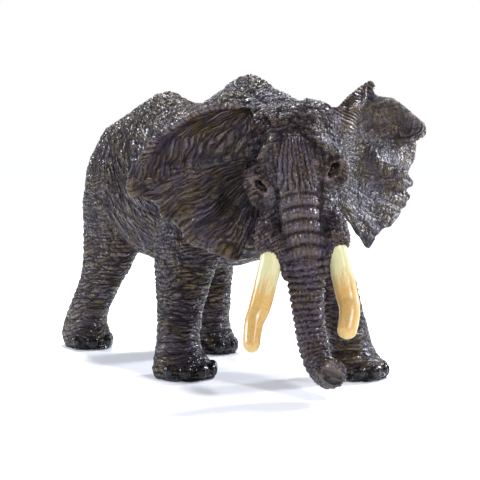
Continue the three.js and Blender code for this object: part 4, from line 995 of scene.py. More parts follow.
REGIONS = (((TORSO,), torso_flows, torso_height), ((HEAD, JAW), head_flows, head_height),
           ((TRUNK,), trunk_flows, trunk_height),
           (tuple(range(FIRST_LEG, len(CASTINGS))), leg_flows, leg_height))


def wrinkled(skin, label, depth, spacing):
    """Moulds the wrinkles, mixed across the castings' borders, and gives what the paint needs to follow them."""
    count = len(skin.points)
    height, total, blend = np.zeros(count), np.zeros(count), np.zeros(count)
    flows = [np.zeros((count, 3)), np.zeros((count, 3))]
    for labels, flow_of, height_of in REGIONS:
        inside = np.isin(label, labels)
        weight = skin.spread(inside.astype(float), 30)
        near = weight > 0.01
        first, second, share = flow_of(skin.points[near])
        height[near] += weight[near] * height_of(skin.points[near], first, second, share, spacing / MM)
        total += weight
        own = inside[near]
        flows[0][inside], flows[1][inside], blend[inside] = first[own], second[own], share[own]
    height = height / np.maximum(total, 1e-6)
    to_eye = np.minimum(*(gap_to_path(skin.points, from_head(millimetres(corners)))
                          for corners in EYE_CORNERS.values()))
    lids, opening = (np.exp(-(to_eye / reach)**4) for reach in (LID_REACH, OPENING_REACH))
    height = height + lids * (FLAT - height)
    bridge, muzzle, _, fold = nose_parts(skin.points)
    of_head = np.isin(label, (HEAD, JAW))
    muzzle, bridge = muzzle * of_head, bridge * of_head
    ringed = skin.spread((label == TRUNK).astype(float), 10)
    tip = np.linalg.norm(skin.points - from_head(at(*TRUNK_END)), axis=1)
    smooth_tip = 1 - smoothstep(tip, *TRUNK_TIP_SMOOTH)
    height = height + smooth_tip * (0.7 - height)
    legged = skin.spread((label >= FIRST_LEG).astype(float), 10)
    lift = (height - FLAT) * depth * (1 + 0.5 * ringed - 0.25 * legged)
    lift = lift + muzzle * (band(fold, MUZZLE_FOLD_PITCH, 0.7) - 0.6) * 0.7 * MM
    skin.points = skin.points + skin.normals() * lift[:, None]
    calm = np.clip(lids + 0.45 * np.maximum(bridge, muzzle) + 0.6 * ringed + smooth_tip, 0, 1)
    return {"crest": height, "blend": blend, "flow": flows[0], "cross_flow": flows[1], "calm": calm,
            "tan": 0.09 * lids, "black": opening}


def darkened(skin, dark):
    """Where black paint lies: as given, and on the soles, in a band over the toes and in the nostrils."""
    height = skin.points[:, 2]
    dark = np.maximum(dark, 1 - smoothstep(height, *SOLE_BLACK))
    for leg in LEGS:
        away = skin.points - foot_centre(leg)
        toed = 1 - smoothstep(np.abs(np.arctan2(away[:, 0], -away[:, 1])), *TOE_BLACK_TURN)
        toed = toed * (1 - smoothstep(height, *TOE_BLACK))
        dark = np.maximum(dark, toed * (np.hypot(away[:, 0], away[:, 1]) < TOE_BLACK_REACH))
    for path, radius, _ in NOSTRILS:
        gap = gap_to_path(skin.points, from_head(millimetres(path))) / (radius * MM)
        dark = np.maximum(dark, np.exp(-gap**4))
    return dark


# Parting the skin into its castings

def islands(skin, label):
    """A number for each run of joined points that share a label."""
    a, b = skin.edges[label[skin.edges[:, 0]] == label[skin.edges[:, 1]]].T
    group = np.arange(len(skin.points))
    while True:
        least = np.minimum(group[a], group[b])
        joined = group.copy()
        np.minimum.at(joined, a, least)
        np.minimum.at(joined, b, least)
        joined = joined[joined]
        if np.array_equal(joined, group):
            return group
        group = joined


def without_islands(skin, label):
    """Labels whose stray islands have gone over to what surrounds them."""
    label = label.copy()
    group = islands(skin, label)
    for kind in range(len(CASTINGS)):
        inside = label == kind
        count = np.bincount(group[inside], minlength=len(label))
        label[inside & (group != np.argmax(count))] = -1
    while (label < 0).any():
        shares = skin.mean((label[:, None] == np.arange(len(CASTINGS))).astype(float))
        loose = (label < 0) & (shares.sum(axis=1) > 0)
        label[loose] = np.argmax(shares[loose], axis=1)
    return label


def rim_groups(edges):
    """Parts directed rim edges into closed runs."""
    group = {}

    def root(point):
        while group.setdefault(point, point) != point:
            point = group[point]
        return point

    for a, b in edges:
        group[root(a)] = root(b)
    runs = {}
    for a, b in edges:
        runs.setdefault(root(a), []).append((a, b))
    return runs.values()


def set_numbers(mesh, name, values):
    """Keeps a number or a place for each point of the mesh, for its material to read."""
    values = np.asarray(values, np.float32)
    kind, key = ("FLOAT", "value") if values.ndim == 1 else ("FLOAT_VECTOR", "vector")
    mesh.attributes.new(name, kind, "POINT").data.foreach_set(key, values.ravel())


def dressed(name, points, faces, numbers, material):
    """A smooth piece, moved to the row's frame, with its material and the numbers that this reads."""
    piece = add_mesh(name, points + FIGURE_SHIFT, faces)
    for key, values in numbers.items():
        set_numbers(piece.data, key, values)
    piece.data.shade_smooth()
    piece.data.materials.append(material)
    return piece


def casting_piece(name, skin, quads, normals, numbers, material):
    """A closed piece of the skin, shaded as if it were never parted from the rest."""
    used, inverse = np.unique(quads, return_inverse=True)
    local = inverse.reshape(-1, 4)
    points, shade = list(skin.points[used]), list(normals[used])
    columns = {key: list(values[used]) for key, values in numbers.items()}
    there = set(zip(local.ravel().tolist(), np.roll(local, -1, axis=1).ravel().tolist()))
    faces = local.tolist()
    for run in rim_groups([(a, b) for a, b in there if (b, a) not in there]):
        ends = sorted({a for a, _ in run})
        points.append(np.mean([points[i] for i in ends], axis=0))
        shade.append(-unit(np.mean([shade[i] for i in ends], axis=0)))
        for column in columns.values():
            column.append(0 * column[0])
        faces += [[b, a, len(points) - 1] for a, b in run]
    piece = dressed(name, np.array(points), faces, columns, material)
    piece.data.normals_split_custom_set_from_vertices([tuple(n) for n in shade])
    return piece


def standing_for(piece, nodes):
    """Lets a piece ride the figure and take the place of frame nodes."""
    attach(piece, "root")
    if nodes:
        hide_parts(*nodes)


# Materials

class Nodes:
    """Short ways to add nodes to a node tree. An input is a plain value or another node's output."""

    def __init__(self, tree):
        self.tree = tree

    def feed(self, socket, value):
        if isinstance(value, bpy.types.NodeSocket):
            self.tree.links.new(value, socket)
        else:
            socket.default_value = value

    def add(self, kind, inputs=None, **settings):
        made = self.tree.nodes.new(kind)
        for name, value in settings.items():
            setattr(made, name, value)
        for name, value in (inputs or {}).items():
            self.feed(made.inputs[name], value)
        return made

    def math(self, operation, first, second, clamp=False):
        return self.add("ShaderNodeMath", {0: first, 1: second}, operation=operation, use_clamp=clamp).outputs[0]

    def times(self, first, *factors, clamp=False):
        """The product of several values, kept between 0 and 1 at the end if asked."""
        *others, last = factors
        return self.math("MULTIPLY", self.times(first, *others) if others else first, last, clamp)

    def lacking(self, value):
        """What a value lacks to 1."""
        return self.math("SUBTRACT", 1.0, value)

    def ranged(self, value, low, high, to_low=0.0, to_high=1.0):
        """A value moved from one range to another and kept inside it."""
        return self.add("ShaderNodeMapRange", {
            "Value": value, "From Min": low, "From Max": high, "To Min": to_low, "To Max": to_high}).outputs[0]

    def mixed(self, share, first, second):
        """Mixes two colours."""
        first, second = (colour if isinstance(colour, bpy.types.NodeSocket) else (*colour, 1)
                         for colour in (first, second))
        return self.add("ShaderNodeMix", {0: share, 6: first, 7: second}, data_type="RGBA").outputs[2]

    def number(self, name, output="Fac"):
        """What the points of a piece keep under a name."""
        return self.add("ShaderNodeAttribute", attribute_name=name).outputs[output]


class Paint(Nodes):
    """A new material, whose patterns follow the place on the object."""

    def __init__(self, name, **sockets):
        self.material = bpy.data.materials.new(name)
        self.material.use_nodes = True
        super().__init__(self.material.node_tree)
        self.shader = self.tree.nodes["Principled BSDF"]
        self.place = self.add("ShaderNodeTexCoord").outputs["Object"]
        self.give(**sockets)

    def give(self, **sockets):
        """Feeds the shader's sockets, with an underscore for each space in their names."""
        for name, value in sockets.items():
            self.feed(self.shader.inputs[name.replace("_", " ")], value)

    def speckle(self, size, detail):
        """Noise with features of a size in metres."""
        return self.add("ShaderNodeTexNoise", {
            "Vector": self.place, "Scale": 1 / size, "Detail": detail, "Roughness": 0.5}).outputs["Fac"]

    def bump(self, height, distance, strength=1.0):
        self.give(Normal=self.add("ShaderNodeBump", {
            "Height": height, "Distance": distance, "Strength": strength}).outputs["Normal"])

    def creases(self, name, spacing, width, strength):
        """Fine creases along a flow: down to 0 in a crease, by its strength, and 1 between creases."""
        edge = self.add("ShaderNodeTexVoronoi", {"Vector": self.number(name, "Vector"), "Scale": 1 / spacing},
                        feature="DISTANCE_TO_EDGE").outputs["Distance"]
        return self.lacking(self.times(self.lacking(self.ranged(edge, 0.0, width)), strength))


def hide_material(colours):
    """Soft vinyl: black in its creases, partly a paint wash and partly painted shade, painted and olive on its
    pads, tan and glossy on its ridges, with painted shade that darkens its hollows and dims the reflections in
    its creases.
    """
    paint = Paint("vinyl_hide", Roughness=0.4, Specular_IOR_Level=0.5)
    number, ranged, times = paint.number, paint.ranged, paint.times
    broad, middle, small = paint.speckle(16 * MM, 3), paint.speckle(3.2 * MM, 3), paint.speckle(0.8 * MM, 2)
    blend, swell, crest = number("blend"), number("swell"), number("crest")
    plain = paint.lacking(number("calm"))
    fine = times(paint.creases("flow", 2.3, 0.13, times(ranged(blend, 0, 1, 1.0, 0.1), plain)),
                 paint.creases("cross_flow", 2.6, 0.1, times(ranged(blend, 0, 1, 0.1, 1.0), plain)))
    # Share of pad colour against the near-black crease colour. Creases and hollows (low crest, low swell) go
    # dark, partly as a paint wash and partly as painted shade.
    raised = times(ranged(crest, 0.14, 0.72, 0.1, 1.0), ranged(fine, 0, 0.75, 0.2, 1.0),
                   ranged(small, 0.25, 0.75, 0.7, 1.25), ranged(swell, -1, 1, 0.6, 1.2), clamp=True)
    washed = times(ranged(broad, 0.36, 0.56), ranged(middle, 0.33, 0.55), number("wash"), clamp=True)
    colour = paint.mixed(raised, colours.groove, paint.mixed(washed, colours.pad, colours.wash))
    rubbed = times(ranged(swell, 0.3, 1.0, 0, 0.16), ranged(middle, 0.42, 0.62), raised)
    # The black share is real black paint, and painted shade in the deep throats of the ears.
    for share, over in ((rubbed, colours.tan), (number("tan"), colours.tan), (number("black"), colours.black)):
        colour = paint.mixed(share, colour, over)
    gloss = paint.math("ADD", times(middle, 0.7), times(raised, 0.5))
    # A lower specular level in the creases dims their reflections, as painted shade.
    paint.give(Base_Color=colour, Roughness=ranged(gloss, 0.3, 0.95, 0.52, 0.16),
               Specular_IOR_Level=ranged(raised, 0.1, 0.9, 0.12, 0.62))
    height = paint.math("ADD", fine, times(small, 0.35))
    paint.bump(paint.math("ADD", height, crest), 0.8 * MM)
    return paint.material


def tusk_material(colours):
    """Painted ivory: pale yellow-green at the root, orange-tan below it, and a pale spot at the tip."""
    paint = Paint("painted_ivory", Roughness=0.26, Specular_IOR_Level=0.55)
    ranged, times = paint.ranged, paint.times
    along = paint.number("along")
    drawn = paint.add("ShaderNodeCombineXYZ", {
        "X": times(paint.number("round"), 9), "Y": times(along, 5)}).outputs[0]
    streaks = paint.add("ShaderNodeTexNoise", {"Vector": drawn, "Scale": 1.8, "Detail": 4}).outputs["Fac"]
    mottled = paint.speckle(1.6 * MM, 3)
    edge = paint.math("ADD", along, ranged(streaks, 0.3, 0.7, -0.1, 0.1))
    tan = times(ranged(edge, 0.24, 0.42), ranged(mottled, 0.3, 0.6, 0.55, 1.0))
    pale = times(ranged(streaks, 0.5, 0.66, 0, 0.5), ranged(along, 0.3, 0.6, 0.3, 1.0))
    tip = times(ranged(along, 0.9, 0.97), ranged(mottled, 0.4, 0.6, 0.3, 1.0))
    colour = paint.mixed(tan, colours.root, colours.streak)
    for share in (pale, tip):
        colour = paint.mixed(share, colour, colours.tip)
    paint.give(Base_Color=colour, Roughness=ranged(mottled, 0.3, 0.7, 0.24, 0.4))
    paint.bump(mottled, 0.1 * MM, 0.35)
    return paint.material


def eye_material(colours):
    """Glossy black, with a brown cast towards the inner corner."""
    paint = Paint("glossy_eye", Roughness=0.1, Specular_IOR_Level=0.16)
    brown = paint.times(paint.number("inner"), paint.ranged(paint.speckle(1.2 * MM, 2), 0.3, 0.7, 0.6, 1.0))
    paint.give(Base_Color=paint.mixed(brown, colours.ball, colours.inner))
    return paint.material


def nail_material(colours):
    """Thick glossy black paint with brush marks."""
    paint = Paint("painted_nail", Roughness=0.2, Specular_IOR_Level=0.35)
    mottled = paint.speckle(1.4 * MM, 3)
    paint.give(Base_Color=paint.mixed(paint.ranged(mottled, 0.45, 0.7), colours.nail, colours.scuff),
               Roughness=paint.ranged(mottled, 0.3, 0.7, 0.12, 0.34))
    paint.bump(mottled, 0.15 * MM, 0.6)
    return paint.material


def fibre_material(colours):
    """Matt white polyester fibre."""
    paint = Paint("white_fibre", Roughness=0.95, Sheen_Weight=0.4)
    strands = paint.add("ShaderNodeTexWave", {
        "Vector": paint.place, "Scale": 320.0, "Distortion": 14.0, "Detail": 4.0}).outputs["Fac"]
    paint.give(Base_Color=paint.mixed(strands, colours.shade, colours.fibre))
    paint.bump(strands, 0.4 * MM, 0.8)
    return paint.material


def floor_material(colours):
    """A pale table that glows as painted light, dim near the figure and brighter away from it, until it meets
    the white behind it.
    """
    paint = Paint("pale_floor", Roughness=0.8, Specular_IOR_Level=0.2)
    away = paint.add("ShaderNodeVectorMath", {0: paint.place}, operation="LENGTH").outputs["Value"]
    # The floor gives out its own light, as painted light: dim near the figure, full white farther out, and
    # lighting the figure from below.
    paint.give(Base_Color=(*colours.floor, 1), Emission_Color=(*colours.glow, 1),
               Emission_Strength=paint.ranged(away, 0.1, 0.6, 0.3, 1.0))
    return paint.material


# Ears

def beside_line(shares, out, up):
    """How far places of an ear lie along a line across it and above this line, and its length."""
    start, end = np.array(shares) * (EAR_SPAN, EAR_HEIGHT)
    way = end - start
    length = np.hypot(*way)
    travel = ((out - start[0]) * way[0] + (up - start[1]) * way[1]) / length
    above = ((up - start[1]) * way[0] - (out - start[0]) * way[1]) / length
    return travel, above, length


def fold_lift(out, up):
    """How far the diagonal fold lifts the ear."""
    travel, above, length = beside_line(EAR_FOLD_SHARES, out, up)
    fade = smoothstep(travel, 0, length / 3) * (1 - smoothstep(travel, length * 0.8, length))
    return EAR_FOLD * fade * np.exp(-((above / EAR_FOLD_WIDTH) ** 2))


def ear_middle(side, sweep, out, up, share, turn):
    """The ear's middle surface, flat at its root and shaped beyond it, in the head's frame."""
    hollow = np.sin(np.pi * share) * np.maximum(0, 1 - share) ** 0.7
    dish = 1.6 * hollow * np.sin(np.pi * (0.15 + 0.8 * turn))
    curl = smoothstep(share, 0.72, 1) * (1 - smoothstep(turn, 0.34, 0.5))
    ripple = share**3 * np.sin(turn * 11 * np.pi)
    free = smoothstep(out, EAR_FLAT_ROOT, 3 * EAR_FLAT_ROOT)
    lift = free * (EAR_CURL * curl + EAR_RIPPLE * ripple - EAR_BOWL * dish + fold_lift(out, up))
    return at(lift - EAR_ROOT_BEHIND - out * math.sin(sweep),
              side * (EAR_ROOT_SPREAD / 2 + out * math.cos(sweep)), up)


def ear_roll(side, out, up):
    """The front of the left ear, rolled forward: how much a place is on the roll and on its edge, from 0 to 1,
    and the millimetres along and above that edge."""
    travel, above, _ = beside_line(EAR_ROLL_SHARES, out, up)
    travel, above = travel / MM, above / MM
    there = smoothstep(travel, -5, 3) * (side > 0)
    return smoothstep(above, -0.4, 0.9) * there, np.exp(-((above + 0.2) / 0.7) ** 2) * there, travel, above


def ear_relief(side, out, up, share, turn, spacing):
    """How the ear bends further, its extra thickness, and the numbers for its paint. Its wrinkles fan out from
    beyond the root; the right ear's others run along its rim, and the left ear's round the fan's centre."""
    look, shape, cell = EAR_LOOKS[side], out.shape, spacing / MM
    flat = np.stack([out, up, np.zeros_like(out)], axis=-1)
    aside, above = out - look["centre"][0] * MM, up - look["centre"][1] * MM
    radius, angle = np.hypot(aside, above), np.arctan2(above, aside)
    stray = wobble(flat, 61 + side, 3.0, 0.7)
    fan = angle * look["reach"] + stray
    travel = turn * EAR_RIM_LENGTH
    if side < 0:
        second = [share * 56 + 1.5 * stray, turn * 24, 0.1 * stray]
        blend = 0.1 + 0.85 * smoothstep(angle, -0.3, 0.0)
    else:
        second = [radius / MM + stray, fan / 3, 0.2 * stray]
        blend = np.full(shape, 0.55)
    first, second = (np.stack(flow, axis=-1).reshape(-1, 3)
                     for flow in ([fan, radius / (7 * MM), 0.2 * stray], second))
    if side < 0:
        radial, level = pads(first / cell, 50).reshape(shape), pads(second / cell, 51).reshape(shape)
        crest = 0.2 + 0.8 * (radial + blend * (level - radial))
    else:
        crest = 0.12 + 0.88 * netted(first / cell, second / cell, blend.ravel(), 52).reshape(shape)
    upper = (1 - smoothstep(turn, 0.24, 0.36)) * look["rim"]
    rim, under = (np.exp(-(((share - middle) / EAR_RIM_WIDTH) ** 2)) * upper
                  for middle in (EAR_RIM, EAR_UNDER_RIM))
    on_rim = smoothstep(rim, 0.15, 0.5)
    crest = crest + on_rim * (band(travel + 0.8 * stray, EAR_RIM_PITCH, 0.3) - crest)
    lobes = smoothstep(turn, 0.42, 0.58) * share**3 * (
        0.7 * np.sin(travel / 4.4 + 0.8 * stray) + 0.6 * np.sin(fan * 0.95))
    throat = np.exp(
        -((out - EAR_THROAT[0]) ** 2 + 0.6 * (up - EAR_THROAT[1]) ** 2) / (look["wide"] * MM) ** 2)
    if side < 0:
        crease = np.exp(-((up - 2 * MM + 0.55 * out) / (5 * MM)) ** 2)
        throat = throat + 0.5 * crease * smoothstep(share, 0.1, 0.3) * (1 - smoothstep(share, 0.4, 0.7))
    folds = cloud(np.stack([fan / 9, radius / (26 * MM), 0 * fan], axis=-1), 1.0, 64 + side, 2)
    roll, edge, roll_travel, roll_above = ear_roll(side, out, up)
    crest = crest + roll * (band(roll_travel + 0.25 * roll_above, EAR_ROLL_PITCH) - crest)
    bend = (1.9 * rim - 1.9 * under + 0.8 * lobes - look["deep"] * throat
            + 1.2 * folds * smoothstep(share, 0.15, 0.4)
            + roll * (3.0 - 0.05 * (roll_above - 3.5) ** 2).clip(0) - 0.9 * edge) * MM
    swell = rim + roll - under - 0.9 * throat + 0.8 * folds * smoothstep(share, 0.2, 0.5) + 0.6 * lobes
    # The black share paints shade into the deep throat at the ear's root. The throat also lowers swell, which
    # paints that hollow darker as painted shade.
    return bend, 1.5 * MM * rim, {
        "crest": crest, "blend": blend, "flow": first, "cross_flow": second, "swell": np.clip(swell, -1, 1),
        "calm": np.clip(look["calm"] + 0.6 * on_rim + 0.6 * roll, 0, 1), "tan": 0.15 * edge,
        "wash": np.clip(0.75 + share - rim, 0, 1), "black": 0.6 * np.clip(throat, 0, 1)}


def ear_piece(name, side, rays, steps, depth, spacing, material):
    """An ear of two surfaces, whose points lie on rays from its root to its outline."""
    turn = np.linspace(0, 1, rays + 1)[:, None]
    share = np.linspace(0, 1, steps + 1)[None, :]
    edge = smooth_curve(np.array(EAR_SHARES[side]) * (EAR_SPAN, EAR_HEIGHT), rays + 1)
    inward = unit(np.column_stack([np.gradient(edge[:, 1]), -np.gradient(edge[:, 0])]))
    ragged = cloud(np.column_stack([edge, np.zeros(len(edge))]), 4.5 * MM, 71 + side, 2)
    edge = edge + inward * (ragged * 0.9 * MM * smoothstep(turn[:, 0], 0.3, 0.5))[:, None]
    level = (EAR_ROOT_SHARES[0] + (EAR_ROOT_SHARES[1] - EAR_ROOT_SHARES[0]) * turn) * EAR_HEIGHT
    out = edge[:, None, 0] * share
    up = level + (edge[:, None, 1] - level) * share
    share, turn = np.broadcast_arrays(share, turn)
    bend, thick, numbers = ear_relief(side, out, up, share, turn, spacing)
    sweep = EAR_SWEEP[side]
    facing = at(math.cos(sweep), side * math.sin(sweep), 0)
    free = smoothstep(out, EAR_FLAT_ROOT * 0.6, 2 * EAR_FLAT_ROOT)
    middle = ear_middle(side, sweep, out, up, share, turn) + facing * (bend * free)[..., None]
    normal = np.cross(np.gradient(middle, axis=0), np.gradient(middle, axis=1))
    normal = unit(normal * np.where(np.sum(normal * facing, axis=-1, keepdims=True) < 0, -1, 1))
    normal = unit(normal + facing * 0.4)
    half = (EAR_ROOT_THICKNESS + (EAR_EDGE_THICKNESS - EAR_ROOT_THICKNESS) * share) / 2
    rounded = np.sqrt(np.clip(1 - ((share - 0.972) / 0.028).clip(0) ** 2, 0.04, 1))
    raised = (numbers["crest"] - 0.7) * depth * 0.75
    front = middle + normal * ((half + thick + raised) * rounded)[..., None]
    back = middle - normal * ((half + thick * 0.4 + raised * 0.7) * rounded)[..., None]
    points = np.stack([front, back], axis=2).reshape(-1, 3)
    f, b = np.moveaxis(np.arange(len(points)).reshape(rays + 1, steps + 1, 2), -1, 0)
    quads = np.concatenate([np.stack(corners, axis=-1).reshape(-1, 4) for corners in (
        (f[:-1, :-1], f[:-1, 1:], f[1:, 1:], f[1:, :-1]), (b[:-1, :-1], b[1:, :-1], b[1:, 1:], b[:-1, 1:]),
        (f[:-1, 0], f[1:, 0], b[1:, 0], b[:-1, 0]), (f[:-1, -1], b[:-1, -1], b[1:, -1], f[1:, -1]),
        (f[0, :-1], b[0, :-1], b[0, 1:], f[0, 1:]), (f[-1, :-1], f[-1, 1:], b[-1, 1:], b[-1, :-1]))])
    if side > 0:
        quads = quads[:, ::-1]
    numbers = {key: np.repeat(values.reshape(out.size, -1).squeeze(), 2, axis=0)
               for key, values in numbers.items()}
    return dressed(name, from_head(points), quads, numbers, material)


# Tusks, tail, eyes, nails and filling

def numbered_tube(name, points, radii, grooves, material, numbers=None):
    """A grooved tube whose points know how far along it and how far round it they are."""
    _, across, upright = tube_frames(points)
    sides = grooves.shape[1]
    turn = np.linspace(0, 2 * np.pi, sides, endpoint=False)
    reach = radii[:, None] + grooves
    rings = (points[:, None, :] + across[:, None, :] * (np.cos(turn) * reach)[..., None]
             + upright[:, None, :] * (np.sin(turn) * reach)[..., None])
    made, faces = loft(rings)
    along = np.append(np.repeat(np.linspace(0, 1, len(points)), sides), [0, 1])
    around = np.append(np.tile(np.abs(turn / np.pi - 1), len(points)), [0, 0])
    return dressed(name, made, faces, {"along": along, "round": around, **(numbers or {})}, material)


def tusk_piece(name, side, material):
    row = arrays(TUSK_SHARES[side])
    corners = at(TUSK_ROOT_AHEAD + row["ahead"] * TUSK_REACH,
                 MUZZLE_SHIFT + side * (TUSK_SPREAD / 2 + row["out"] * TUSK_FLARE),
                 -TUSK_ROOT_DROP - row["down"] * TUSK_DROP)
    rounding = np.sin(np.linspace(0, np.pi / 2, 18))[1:]
    shares = np.concatenate([np.linspace(0, TUSK_TIP, 90), TUSK_TIP + (1 - TUSK_TIP) * rounding])
    points, radius, _ = smooth_line(corners, row["radius"], shares)
    into_tip = np.clip((shares - TUSK_TIP) / (1 - TUSK_TIP), 0, 1)
    radius = radius * TUSK_RADIUS * np.sqrt(np.maximum(0.012, 1 - into_tip**2))
    turn = np.linspace(0, 2 * np.pi, 56, endpoint=False)[None, :]
    spot = np.stack(np.broadcast_arrays(turn * 2.4, shares[:, None] * 3, 0.0), axis=-1)
    grooves = cloud(spot, 0.5, 81 + side, 2) * TUSK_GROOVE
    return numbered_tube(name, from_head(points), radius, grooves, material)


def tail_piece(material):
    ahead = -TORSO_BEHIND - TAIL_ROOT_RADIUS * np.array([-2, 0.9, 1.9, 2.1, 2.2])
    corners = at(ahead, TAIL_SWING * np.array([0, 0, 0.2, 0.55, 1]),
                 TAIL_HEIGHT - TAIL_LENGTH * np.array([0, 0.08, 0.3, 0.6, 1]))
    shares = np.linspace(0, 1, 150)
    points, _, length = smooth_line(corners, np.zeros(len(corners)), shares)
    tuft = TUFT_LENGTH / TAIL_LENGTH
    to_tuft = np.minimum(1, shares / (1 - tuft))
    slim = TAIL_ROOT_RADIUS + (TAIL_TIP_RADIUS - TAIL_ROOT_RADIUS) * to_tuft**0.7
    in_tuft = np.maximum(0, (shares - 1 + tuft) / tuft)
    radius = slim + (TUFT_RADIUS - TAIL_TIP_RADIUS) * np.sin(np.pi * in_tuft) - slim * 0.7 * in_tuft**2
    turn = np.linspace(0, 2 * np.pi, 48, endpoint=False)[None, :]
    folds = band(shares[:, None] * length / (TAIL_FOLD_PITCH * MM) + 0.3 * np.sin(turn), 1.0)
    strands = np.sin(turn * 9 + 2 * np.sin(shares[:, None] * 40)) * smoothstep(in_tuft, 0, 0.2)[:, None]
    furred = smoothstep(in_tuft, 0, 0.3)
    grooves = (folds - 0.6) * TAIL_GROOVE * (1 - furred)[:, None] + strands * TAIL_STRAND
    reach = np.append(np.repeat(shares * length / MM, turn.size), [0, length / MM])
    around = np.append(np.tile(turn.ravel() * 3, len(shares)), [0, 0])
    flow = np.stack([reach, around, 0 * reach], axis=1)
    black = np.append(np.repeat(furred, turn.size), [0, 1])
    numbers = {"crest": np.append((folds * 0.8 + 0.2).ravel(), [0, 0]), "black": black,
               "flow": flow, "cross_flow": flow[:, ::-1]}
    numbers.update({key: 0 * black for key in ("wash", "tan", "blend")})
    return numbered_tube("tail_skin", points, radius, grooves, material, numbers)


def eye_piece(name, side, material):
    """A ball drawn out from the inner to the outer corner of its lids."""
    inner, outer = millimetres(EYE_CORNERS[side])
    across = unit(outer - inner)
    out = unit(at(EYE_FACING[0], side * EYE_FACING[1], 0.0))
    out = unit(out - across * (out @ across))
    upright = np.cross(across, out) * -side
    centre = (inner + outer) / 2 - out * EYE_SUNK
    points, faces = ball(centre, (across, out, upright), EYE_SIZES, 48, 32)
    corner = smoothstep((points - centre) @ -across, *EYE_INNER_REACH)
    return dressed(name, from_head(points), faces, {"inner": corner}, material)


def nails_piece(leg, nail, material):
    """The painted nails of one foot."""
    forms = []
    for share in np.linspace(0, 1, leg["toes"]):
        turn = (share - 0.5) * nail.arc
        out = at(math.cos(turn), math.sin(turn), 0)
        across = np.cross((0, 0, 1), out)
        rim = math.hypot(math.cos(turn) * leg["length"], math.sin(turn) * leg["width"]) / 2
        width = nail.width * (1 - 0.3 * abs(share - 0.5))
        centre = foot_centre(leg) + out * (rim - nail.thickness / 3) + at(0, 0, nail.height / 2 + NAIL_LIFT)
        sizes = (width / 2, nail.thickness / 2, nail.height / 2)
        points, faces = ball(centre, (across, out, (0, 0, 1)), sizes, 40, 28)
        away = points - centre
        points = points + np.outer(np.maximum(0, away @ out) * 0.1 * np.cos(away @ across / width * 18), out)
        points[:, 2] = np.maximum(points[:, 2], 0)
        forms.append((points, faces))
    points, faces = merged(forms)
    return dressed(leg["name"].replace("leg", "nails"), points, faces, {}, material)


def filling_piece(name, node, grain, material):
    """Lumpy fibre in the space of a frame node."""
    piece = bpy.data.objects.new(name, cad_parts[node].data.copy())
    bpy.context.scene.collection.objects.link(piece)
    mesh = piece.data = remeshed(piece, grain)
    points, normals = np.empty(len(mesh.vertices) * 3), np.empty(len(mesh.vertices) * 3)
    mesh.vertices.foreach_get("co", points)
    mesh.vertices.foreach_get("normal", normals)
    depth = (cloud(points.reshape(-1, 3), 9 * MM, 91, 3) - 0.9) * FIBRE_LUMP
    mesh.vertices.foreach_set("co", points + normals * np.repeat(depth, 3))
    mesh.shade_smooth()
    mesh.materials.clear()
    mesh.materials.append(material)
    return piece


# Settings

def colour_of(label, text, value):
    return FloatVectorProperty(
        name=label, description=text, subtype="COLOR", size=3, min=0, max=1, default=value)


def length_of(label, text, value):
    return FloatProperty(
        name=label, description=text, subtype="DISTANCE", unit="LENGTH", default=value, precision=5)


def power_of(label, text, value):
    return FloatProperty(name=label, description=text, subtype="POWER", unit="POWER", default=value)


class HideSettings(PropertyGroup):
    """How the vinyl skin is moulded and painted."""
    grain: length_of("Grain", "Edge length of the skin's faces", 0.82 * MM)
    wrinkle_depth: length_of("Wrinkle depth", "How deep the moulded wrinkles are", 1.15 * MM)
    wrinkle_spacing: length_of("Wrinkle spacing", "How far apart the moulded wrinkles are", 3.0 * MM)
    # The groove colour is partly a paint wash and partly painted shade in the creases.
    groove: colour_of("Groove", "Colour in the cracks", (0.012, 0.009, 0.012))
    pad: colour_of("Pad", "Colour of the raised pads", (0.071, 0.053, 0.073))
    wash: colour_of("Wash", "Olive paint brushed over the pads", (0.100, 0.065, 0.016))
    tan: colour_of("Tan", "Orange-brown paint on a few folds", (0.26, 0.115, 0.045))
    # Black is real paint on soles, toes, nostrils and eye openings, and painted shade in the deep throats of the
    # ears.
    black: colour_of("Black", "Paint on the soles and in the deep hollows", (0.008, 0.007, 0.008))


class IvorySettings(PropertyGroup):
    """The paint of the tusks."""
    root: colour_of("Root", "Colour where a tusk leaves its sheath", (0.78, 0.73, 0.40))
    streak: colour_of("Streak", "Colour of the streaks along the middle", (0.74, 0.40, 0.10))
    tip: colour_of("Tip", "Colour of the tip", (0.72, 0.60, 0.24))


class EyeSettings(PropertyGroup):
    """The paint of the eyes."""
    ball: colour_of("Ball", "Colour of the eye", (0.006, 0.005, 0.005))
    inner: colour_of("Inner corner", "Cast towards the inner corner", (0.020, 0.009, 0.005))


class NailSettings(PropertyGroup):
    """The painted nails."""
    width: length_of("Width", "Width of the middle nail", 8.9 * MM)
    height: length_of("Height", "Height of a nail", 8.8 * MM)
    thickness: length_of("Thickness", "Thickness of a nail", 6.4 * MM)
    arc: FloatProperty(name="Arc", description="How far round the foot the nails go", subtype="ANGLE",
                       unit="ROTATION", default=2.35)
    nail: colour_of("Nail", "Colour of the nails", (0.010, 0.009, 0.010))
    scuff: colour_of("Scuff", "Colour where the paint is thin", (0.035, 0.030, 0.032))


class FibreSettings(PropertyGroup):
    """The fibre filling."""
    tufts: length_of("Tufts", "Size of the tufts", 2.5 * MM)
    fibre: colour_of("Fibre", "Colour of the fibre", (0.86, 0.85, 0.82))
    shade: colour_of("Shade", "Colour between the strands", (0.62, 0.61, 0.58))


